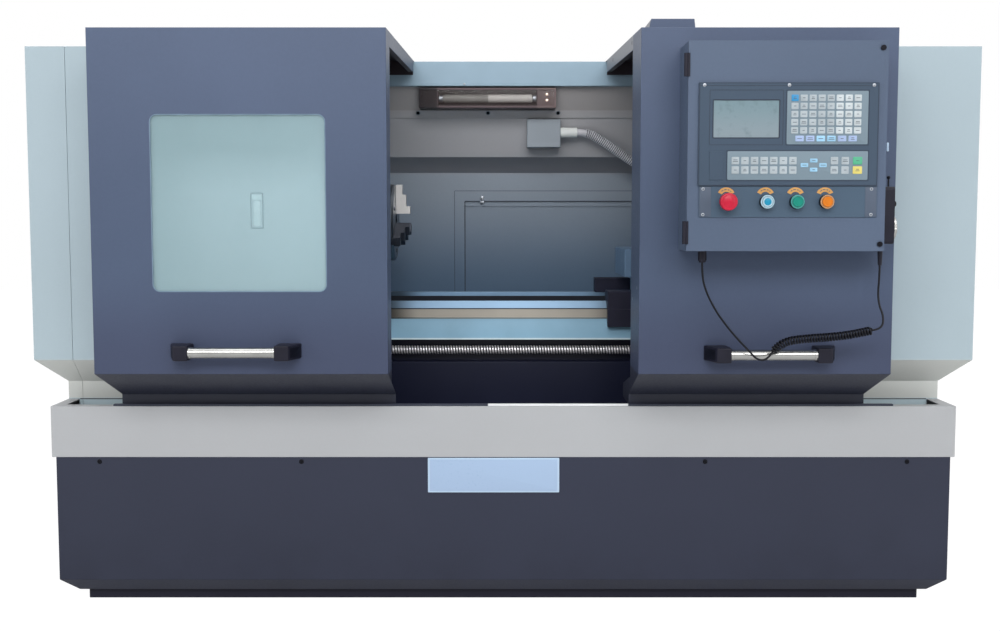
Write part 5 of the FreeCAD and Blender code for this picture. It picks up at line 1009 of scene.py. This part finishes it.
reset_key, *others = keys["letter"]
left_edges = sorted(low[0] for low, high in others)
number_edge = left_edges[-NUMBER_KEYS] - KEY_SLACK
start_key, stop_key = keys["start"]
key_sets = {
    "letter_keys": ([box for box in others if box[0][0] < number_edge], "key_grey"),
    "number_keys": ([box for box in others if box[0][0] >= number_edge], "key_white"),
    "mode_keys": (keys["mode"], "key_grey"), "arrow_keys": (keys["arrow"], "key_sky"),
    "reset_key": ([reset_key], "key_blue"),
    "soft_keys": (keys["wide"][:2] + keys["wide"][4:], "key_lilac"),
    "page_keys": (keys["wide"][2:4], "key_sky"),
    "start_key": ([start_key], "key_green"), "stop_key": ([stop_key], "key_yellow"),
}
strokes, count = [], 0
for name, (boxes, finish) in key_sets.items():
    grids = []
    for low, high in boxes:
        width, thickness, height = high - low
        back = back_middle(low, high)
        grids.append(plate(back, width, height, thickness, KEY_CORNER, KEY_EASE, 3))
        rows = 1 + count % 2 if height > TALL_KEY else 1
        for row in range(rows):
            # One of four lengths in turn, as the words on keys differ.
            share = 0.34 + 0.11 * ((count * 5 + row * 3) % 4)
            up = STROKE_ROWS * (row - (rows - 1) / 2)
            centre = back - (thickness - STROKE_RISE / 2) * BACK + up * UP
            strokes.append(plate(centre, width * share, STROKE_HEIGHT, STROKE_RISE, STROKE_RISE,
                                 STROKE_RISE / 2, 1))
        count += 1
    carried("control_keys", name, grids, finish, ["control_keys"])
carried("control_keys", "key_strokes", strokes, "key_ink")

# %% Films, grooves and display bezel
box_front = corners("control_box_door")[0][1]
unit_low = corners("controller_unit")[0]
UNIT_PROUD, FIELD_PROUD, PLATE_PROUD = 0.006, 0.0008, 0.003
UNIT_FRONT = box_front - UNIT_PROUD
FIELD_FRONT = UNIT_FRONT - FIELD_PROUD


def on_unit(left, bottom, width, height, front=UNIT_FRONT):
    """Middle of a patch of the unit's face, from its lower left corner."""
    return np.array([unit_low[0] + left + width / 2, front, unit_low[2] + bottom + height / 2])


# name: (finish, front, (thickness, corner, ease, steps), patches from left, bottom)
UNIT_PLATES = {
    "field_films": ("field_film", FIELD_FRONT, (0.0002, 0.003, 0.0001, 4),
                    [(0.1985, 0.0935, 0.183, 0.1195), (0.0655, 0.0135, 0.3175, 0.0645)]),
    "unit_top_line": ("unit_line", UNIT_FRONT, (0.0003, 0.0003, 0.0001, 1),
                      [(0.002, 0.2243, 0.402, 0.0012)]),
    "port_cover": ("port_black", UNIT_FRONT, (0.0006, 0.001, 0.0003, 1),
                   [(0.0258, 0.0145, 0.0295, 0.0625)]),
}
for name, (finish, front, relief, patches) in UNIT_PLATES.items():
    carried("controller_unit", name, [
        plate(on_unit(*patch, front), *patch[2:], *relief) for patch in patches], finish)

GROOVES = [(0.0243, 0.0924, 0.1657, 0.1225), (0.1965, 0.0915, 0.187, 0.1235),
           (0.0635, 0.0115, 0.3215, 0.0685), (0.0015, 0.0015, 0.403, 0.229)]
rim("unit_grooves", [
    frame_ring(on_unit(*groove), *groove[2:], 0.001, hairline(0.0006, 0.0003), 2)
    for groove in GROOVES], "unit_line", "control_door", "unit_grey")
bezel = [(0.0, 0.0), (0.0, 0.0004), (0.0016, 0.0006), (0.0024, 0.0)]
rim("screen_bezel", [frame_ring(on_unit(0.033, 0.109, 0.148, 0.083), screen_width,
                                screen_height, 0.001, bezel, 2)],
    "unit_line", "control_door", "unit_grey")


# %% [markdown]
# ## Switches
#
# Below the controller are an emergency stop and three push buttons, each under a plain amber
# arc. A button is three turned pieces, so that each can have its own finish: a black collar,
# a coloured bezel on it, and the pusher, which is the only one that moves.

# %% Switches
def bow(centre, inner, outer, half_angle, thickness, steps=24, turn=0.0):
    """A flat arc to the front: rings across its width, carried along the angle; the angles
    are in degrees, from straight up."""
    angle = np.radians(np.linspace(turn - half_angle, turn + half_angle, steps))[:, None]
    radius, rise = np.array([(inner, 0), (inner, thickness), (outer, thickness), (outer, 0)]).T
    return placed(centre, FRONT, radius * np.sin(angle), radius * np.cos(angle), rise)


PLATE_FRONT = box_front - PLATE_PROUD
plate_low, plate_high = corners("switch_plate")
BUTTONS = {"white_button": ("ring_white", "ring_white"),
           "green_button": ("ring_green", "lens_green"),
           "orange_button": ("ring_orange", "lens_orange")}
BOW_LEFT, BOW_UP, BOW_RISE = 0.0015, 0.012, 0.0004
bows, bow_strokes = [], []
for node in ["emergency_stop", *BUTTONS]:
    x, _, z = middle(node) - BOW_LEFT * RIGHT + BOW_UP * UP
    bows.append(bow((x, PLATE_FRONT, z), 0.0108, 0.0208, 64, BOW_RISE))
    bow_strokes += [
        bow((x, PLATE_FRONT - BOW_RISE, z), 0.0148, 0.0168, half_angle, 0.0002, 5, turn)
        for half_angle, turn in ((9, -34), (11, -8), (7, 20), (5, 40))]
carried("switch_plate", "switch_bows", bows, "legend_amber")
carried("switch_plate", "switch_bow_strokes", bow_strokes, "key_ink")

RING_RADIUS, RING_BORE, RING_PROUD = 0.0154, 0.0123, 0.018
COLLAR_PROUD = RING_PROUD - 0.0022
collar = [(0, RING_BORE), (0, RING_RADIUS), (COLLAR_PROUD, RING_RADIUS),
          (COLLAR_PROUD, RING_BORE), (0, RING_BORE)]
bright = [(COLLAR_PROUD, RING_BORE), (COLLAR_PROUD, RING_RADIUS),
          (RING_PROUD - 0.0006, RING_RADIUS), (RING_PROUD + 0.0004, RING_RADIUS - 0.001),
          (RING_PROUD + 0.0004, RING_BORE + 0.0006), (COLLAR_PROUD, RING_BORE)]
for node, (ring_finish, pusher_finish) in BUTTONS.items():
    x, _, z = middle(node)
    base, word = (x, PLATE_FRONT, z), node.split("_")[0]
    proud = PLATE_FRONT - corners(node)[0][1]
    rim(f"{word}_collar", [turned(collar, base, FRONT)], "gloss_black", "control_door",
        "plate_dark")
    rim(f"{word}_bezel", [turned(bright, base, FRONT)], ring_finish, "control_door",
        "plate_dark")
    pusher = [(0, 0.0119), (proud - 0.001, 0.0119), (proud, 0.0108), (proud, 0.0092),
              (proud - 0.0006, 0.0086), (proud - 0.0006, 0.0)]
    stand_in(node, f"{word}_pusher", [turned(pusher, base, FRONT)], pusher_finish)

x, _, z = middle("white_button")
dot = [(0, 0.0082), (0.0008, 0.0080), (0.0012, 0.0072), (0.0013, 0.0)]
dot_foot = corners("white_button")[0][1] + 0.0006
carried("white_button", "white_lens", [turned(dot, (x, dot_foot, z), FRONT)], "lens_cyan")

x, _, z = middle("emergency_stop")
mushroom = [(0.0, 0.0108), (0.0140, 0.0108), (0.0142, 0.0192), (0.0155, 0.0199),
            (0.0265, 0.0199), (0.0284, 0.0190), (0.0293, 0.0172), (0.0291, 0.0148),
            (0.0291, 0.0138), (0.0296, 0.0130), (0.0300, 0.0)]
stand_in("emergency_stop", "stop_head", [turned(mushroom, (x, PLATE_FRONT, z), FRONT, 64)],
         "stop_red")

# A dark strip closes each end of the switch plate.
STRIP_WIDTH, STRIP_INSET = 0.026, 0.001
strip_height = plate_high[2] - plate_low[2] - 2 * STRIP_INSET
carried("switch_plate", "plate_end_strips", [
    plate((edge, PLATE_FRONT, (plate_low[2] + plate_high[2]) / 2), STRIP_WIDTH,
          strip_height, 0.0006, 0.001, 0.0003, 1)
    for edge in (plate_low[0] + STRIP_INSET + STRIP_WIDTH / 2,
                 plate_high[0] - STRIP_INSET - STRIP_WIDTH / 2)], "strip_film")


# %% [markdown]
# ## Screws and small fittings
#
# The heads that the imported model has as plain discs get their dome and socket, at the same
# places. Those too small for it are placed here: three with washers on the lamp's panel,
# whose foot leans back, one on the fascia, and flush ones on the right door's roof and edge.

# %% Screws
def heads(boxes):
    """A screw head in each box, seated on its back face."""
    return [screw(back_middle(low, high), FRONT, (high[0] - low[0]) / 2, high[1] - low[1])
            for low, high in boxes]


stand_in("panel_screws", "panel_screw_heads", heads(islands("panel_screws")), "zinc")
*base_screws, badge = sorted(islands("base_front_fittings"), key=lambda box: box[1][0] - box[0][0])
stand_in("base_front_fittings", "base_screws", heads(base_screws), "gloss_black")
badge_back = back_middle(*badge)
badge_width, badge_depth, badge_height = badge[1] - badge[0]
stand_in("base_front_fittings", "plain_plate_edge", [
    plate(badge_back, badge_width, badge_height, badge_depth, 0.002, 0.0006)],
    "pale_border")
carried("base_front_fittings", "plain_plate_face", [
    plate(badge_back - badge_depth * BACK, badge_width - 0.010, badge_height - 0.008,
          0.0003, 0.001, 0.0002)], "pale_plate")

LEAN = facing_along((0, -0.796, -0.606))
DOOR_EDGE = facing_along(-RIGHT, -BACK)
door_side = corners("right_door_panel")[0][0]
panel_places = (-0.2702, -0.0462, 0.1778)
skin("lamp_panel_screws", [screw((x, 0.1838, 1.3367), LEAN, 0.0052, 0.002)
                           for x in panel_places], "gloss_black", "machine", "dark_steel")
washer = [(0, 0.0078), (0.0006, 0.0076), (0.0008, 0.0)]
skin("lamp_panel_washers", [turned(washer, (x, 0.1842, 1.3367), LEAN, 24)
                            for x in panel_places], "zinc", "machine", "screw_zinc")
skin("fascia_screw", [screw((-0.1192, 0.108, 1.4195), FRONT, 0.0035, 0.002)], "zinc",
     "machine", "screw_zinc")
skin("roof_flange_screws", [screw((door_side, y, z), DOOR_EDGE, 0.006, 0.0003)
                            for y, z in ((-0.583, 1.4425), (-0.107, 1.4655))],
     "gloss_black", "right_door", "dark_steel")
rivet = [(0, 0.0045), (0.0002, 0.0043), (0.0003, 0.0028), (0.0003, 0)]
skin("door_rivets", [turned(rivet, (door_side, y, z), DOOR_EDGE, 20)
                     for y, z in ((-0.728, 0.834), (-0.640, 0.801))],
     "zinc", "right_door", "screw_zinc")

# %% [markdown]
# ## Lamp, chuck and pendant
#
# The lamp is a white tube between two metal caps behind a smoked cover. The chuck's face has
# six bolts. The pendant has a ridged selector knob and a knurled dial with 25 fine ticks:
# ridges and knurl are waves of the radius, because they show as real teeth from the side.

# %% Lamp
CAP, CAP_POINT, INSET = 0.014, 0.0005, 0.001
tube_start, length, radius = barrel("lamp_tube")
bulb = [(CAP, 0.90 * radius), (CAP + 0.004, radius)]
bulb += [(length - place, reach) for place, reach in reversed(bulb)]
stand_in("lamp_tube", "lamp_bulb", [turned(bulb, tube_start, SIDE, 32)], "lamp_white")
caps = [turned([(start, 0.45 * radius), (start + 0.002, 0.93 * radius),
                (start + CAP - 0.001, 0.93 * radius), (start + CAP + CAP_POINT, 0.0)],
               tube_start, SIDE, 32) for start in (0.0, length - CAP - CAP_POINT)]
stand_in("lamp_tube", "lamp_bulb_caps", caps, "zinc")
low, high = corners("lamp_cover")
cover_back = back_middle(low, high)
cover_width, cover_depth, cover_height = high - low
stand_in("lamp_cover", "lamp_window", [
    plate(cover_back, cover_width - INSET, cover_height - INSET, cover_depth - INSET, 0.003,
          0.001)], "lamp_glass")
lamp_rim = [(-0.007, 0.0), (-0.0062, 0.0010), (-0.001, 0.0010), (-0.0002, 0.0004),
            (-0.0002, 0.0)]
rim("lamp_rim", [frame_ring(cover_back - (cover_depth - INSET) * BACK, cover_width,
                            cover_height, 0.003, lamp_rim)], "lamp_shell", "machine",
    "lamp_glass")
skin("lamp_screws", [screw((0.1393, low[1] + INSET, z), FRONT, 0.0048, 0.0022)
                     for z in (1.369, 1.387)], "lamp_brass", "machine", "screw_zinc")

# %% Chuck
BOLT_CIRCLE = 0.084
chuck_face = middle("chuck_body")
chuck_face[0] = corners("chuck_body")[1][0]
bolt_turns = np.radians(range(30, 360, 60))
bolt_places = placed(chuck_face, SIDE, BOLT_CIRCLE * np.cos(bolt_turns),
                     BOLT_CIRCLE * np.sin(bolt_turns))
carried("chuck_body", "chuck_bolts", [screw(place, SIDE, 0.0065, 0.003)
                                      for place in bolt_places], "blued_steel_and_jaw_shade")

# %% Pendant
def ridged(depth, count, sides):
    """A wave of the radius, count to the turn, from 1 down to 1 - depth."""
    return 1 - depth * (0.5 + 0.5 * np.cos(circle(sides) * count))


STRAP = np.array([0.8862, -0.848, 1.075])
carried("pendant_body", "pendant_strap", [
    plate(STRAP + 0.0105 * UP, 0.0035, 0.021, 0.002, 0.0005, 0.0004, 2),
    turned([(0, 0.0038), (0.0035, 0.0036), (0.005, 0.0022), (0.005, 0)],
           STRAP + 0.0215 * UP, FRONT, 20)], "gloss_black")
skin("door_clip", [plate((0.9086, door_front, 1.1708), 0.005, 0.021, 0.002, 0.002,
                         0.0008)], "pale_border", "right_door", "screw_zinc")

KNOB_SIDES, KNOB_RIDGES = 72, 18
axis, length, radius = barrel("pendant_selector")
knob = [(0, 0.75 * radius), (0.002, 0.75 * radius), (0.0025, radius),
        (length - 0.002, radius), (length, 0.8 * radius)]
ridges = ridged(0.05, KNOB_RIDGES, KNOB_SIDES)
stand_in("pendant_selector", "selector_knob", [turned(knob, axis, SIDE, KNOB_SIDES, ridges)],
         "gloss_black")

DIAL_SIDES, DIAL_KNURLS, DIAL_TICKS = 200, 50, 25
axis, length, radius = barrel("pendant_dial")
dial = [(0, 0.97 * radius), (0.3 * length, 0.97 * radius), (0.35 * length, radius),
        (0.85 * length, radius), (length, 0.93 * radius), (length, 0.5 * radius),
        (0.9 * length, 0.45 * radius)]
waves = np.ones((len(dial), DIAL_SIDES))
waves[2:4] = ridged(0.02, DIAL_KNURLS, DIAL_SIDES)
stand_in("pendant_dial", "pulse_dial", [turned(dial, axis, SIDE, DIAL_SIDES, waves)], "chrome")
ticks = []
for turn in circle(DIAL_TICKS):
    outward = math.cos(turn) * BACK + math.sin(turn) * UP
    ticks.append(plate(axis + length * RIGHT + 0.80 * radius * outward, 0.0007, 0.0032, 0.0002,
                       0.0002, 0.0001, 1, (np.cross(outward, RIGHT), outward, RIGHT)))
carried("pendant_dial", "dial_ticks", ticks, "key_ink")


# %% [markdown]
# ## White room
#
# The background is white because the floor and the sky are white to the camera and to
# mirrors. The object itself is lit by a plain grey sky and four soft lamps, at a level where
# a colour comes out about as it was written.

# %% Floor and sky
FLOOR_HALF, SKY_LIGHT = 12.0, 0.34
floor_mesh = bpy.data.meshes.new("floor")
floor_mesh.from_pydata([(x * FLOOR_HALF, y * FLOOR_HALF, 0)
                        for x, y in ((-1, -1), (1, -1), (1, 1), (-1, 1))], [], [(0, 1, 2, 3)])
floor = bpy.data.objects.new("floor", floor_mesh)
link(floor)
pale = Finish("pale_floor", Roughness=0.7, Specular_IOR_Level=0.2,
              Base_Color=(0.86, 0.86, 0.86, 1))
rays = pale.node("ShaderNodeLightPath", out="Is Camera Ray")
glow = pale.node("ShaderNodeEmission", {}, {"Color": (1, 1, 1, 1), "Strength": 1.1})
shown = pale.node("ShaderNodeMixShader", {},
                  (rays * 0.9, Signal(pale, pale.shader.outputs[0]), glow))
pale.tree.links.new(shown.socket, pale.tree.nodes["Material Output"].inputs["Surface"])
floor_mesh.materials.append(finishes["pale_floor"])

world = bpy.data.worlds.new("sky")
world.use_nodes = True
bpy.context.scene.world = world
sky = Recipe(world.node_tree)
camera_ray, mirror_ray, clear_ray = [
    sky.node("ShaderNodeLightPath", out=f"Is {kind} Ray")
    for kind in ("Camera", "Glossy", "Transmission")]
seen = sky.math("MAXIMUM", camera_ray, sky.math("MAXIMUM", mirror_ray, clear_ray))
strength = sky.node("ShaderNodeMapRange", {},
                    {"Value": seen, "To Min": SKY_LIGHT, "To Max": 1.0})
background = sky.tree.nodes["Background"]
background.inputs["Color"].default_value = (1, 1, 1, 1)
sky.tree.links.new(strength.socket, background.inputs["Strength"])


# %% Lamps
def soft_lamp(name, place, aim, size, power):
    """A white rectangle of light that faces a point."""
    data = bpy.data.lights.new(name, "AREA")
    data.shape = "RECTANGLE"
    data.size, data.size_y = size
    data.energy = power
    lamp = bpy.data.objects.new(name, data)
    lamp.location = place
    lamp.rotation_euler = (Vector(aim) - Vector(place)).to_track_quat("-Z", "Y").to_euler()
    link(lamp)


soft_lamp("front_lamp", (0.0, -5.0, 3.5), (0, 0, 0.9), (5.5, 1.8), 195)
soft_lamp("top_lamp", (0.2, -1.0, 5.2), (0, -0.2, 0.8), (5.0, 3.0), 85)
for side in (-1, 1):
    soft_lamp("side_lamp", (side * 3.8, -3.4, 1.5), (side * 1.0, -0.5, 0.7), (1.6, 2.2), 28)
bpy.context.scene.view_settings.view_transform = "Standard"
print(len(bpy.data.lights), "lamps")
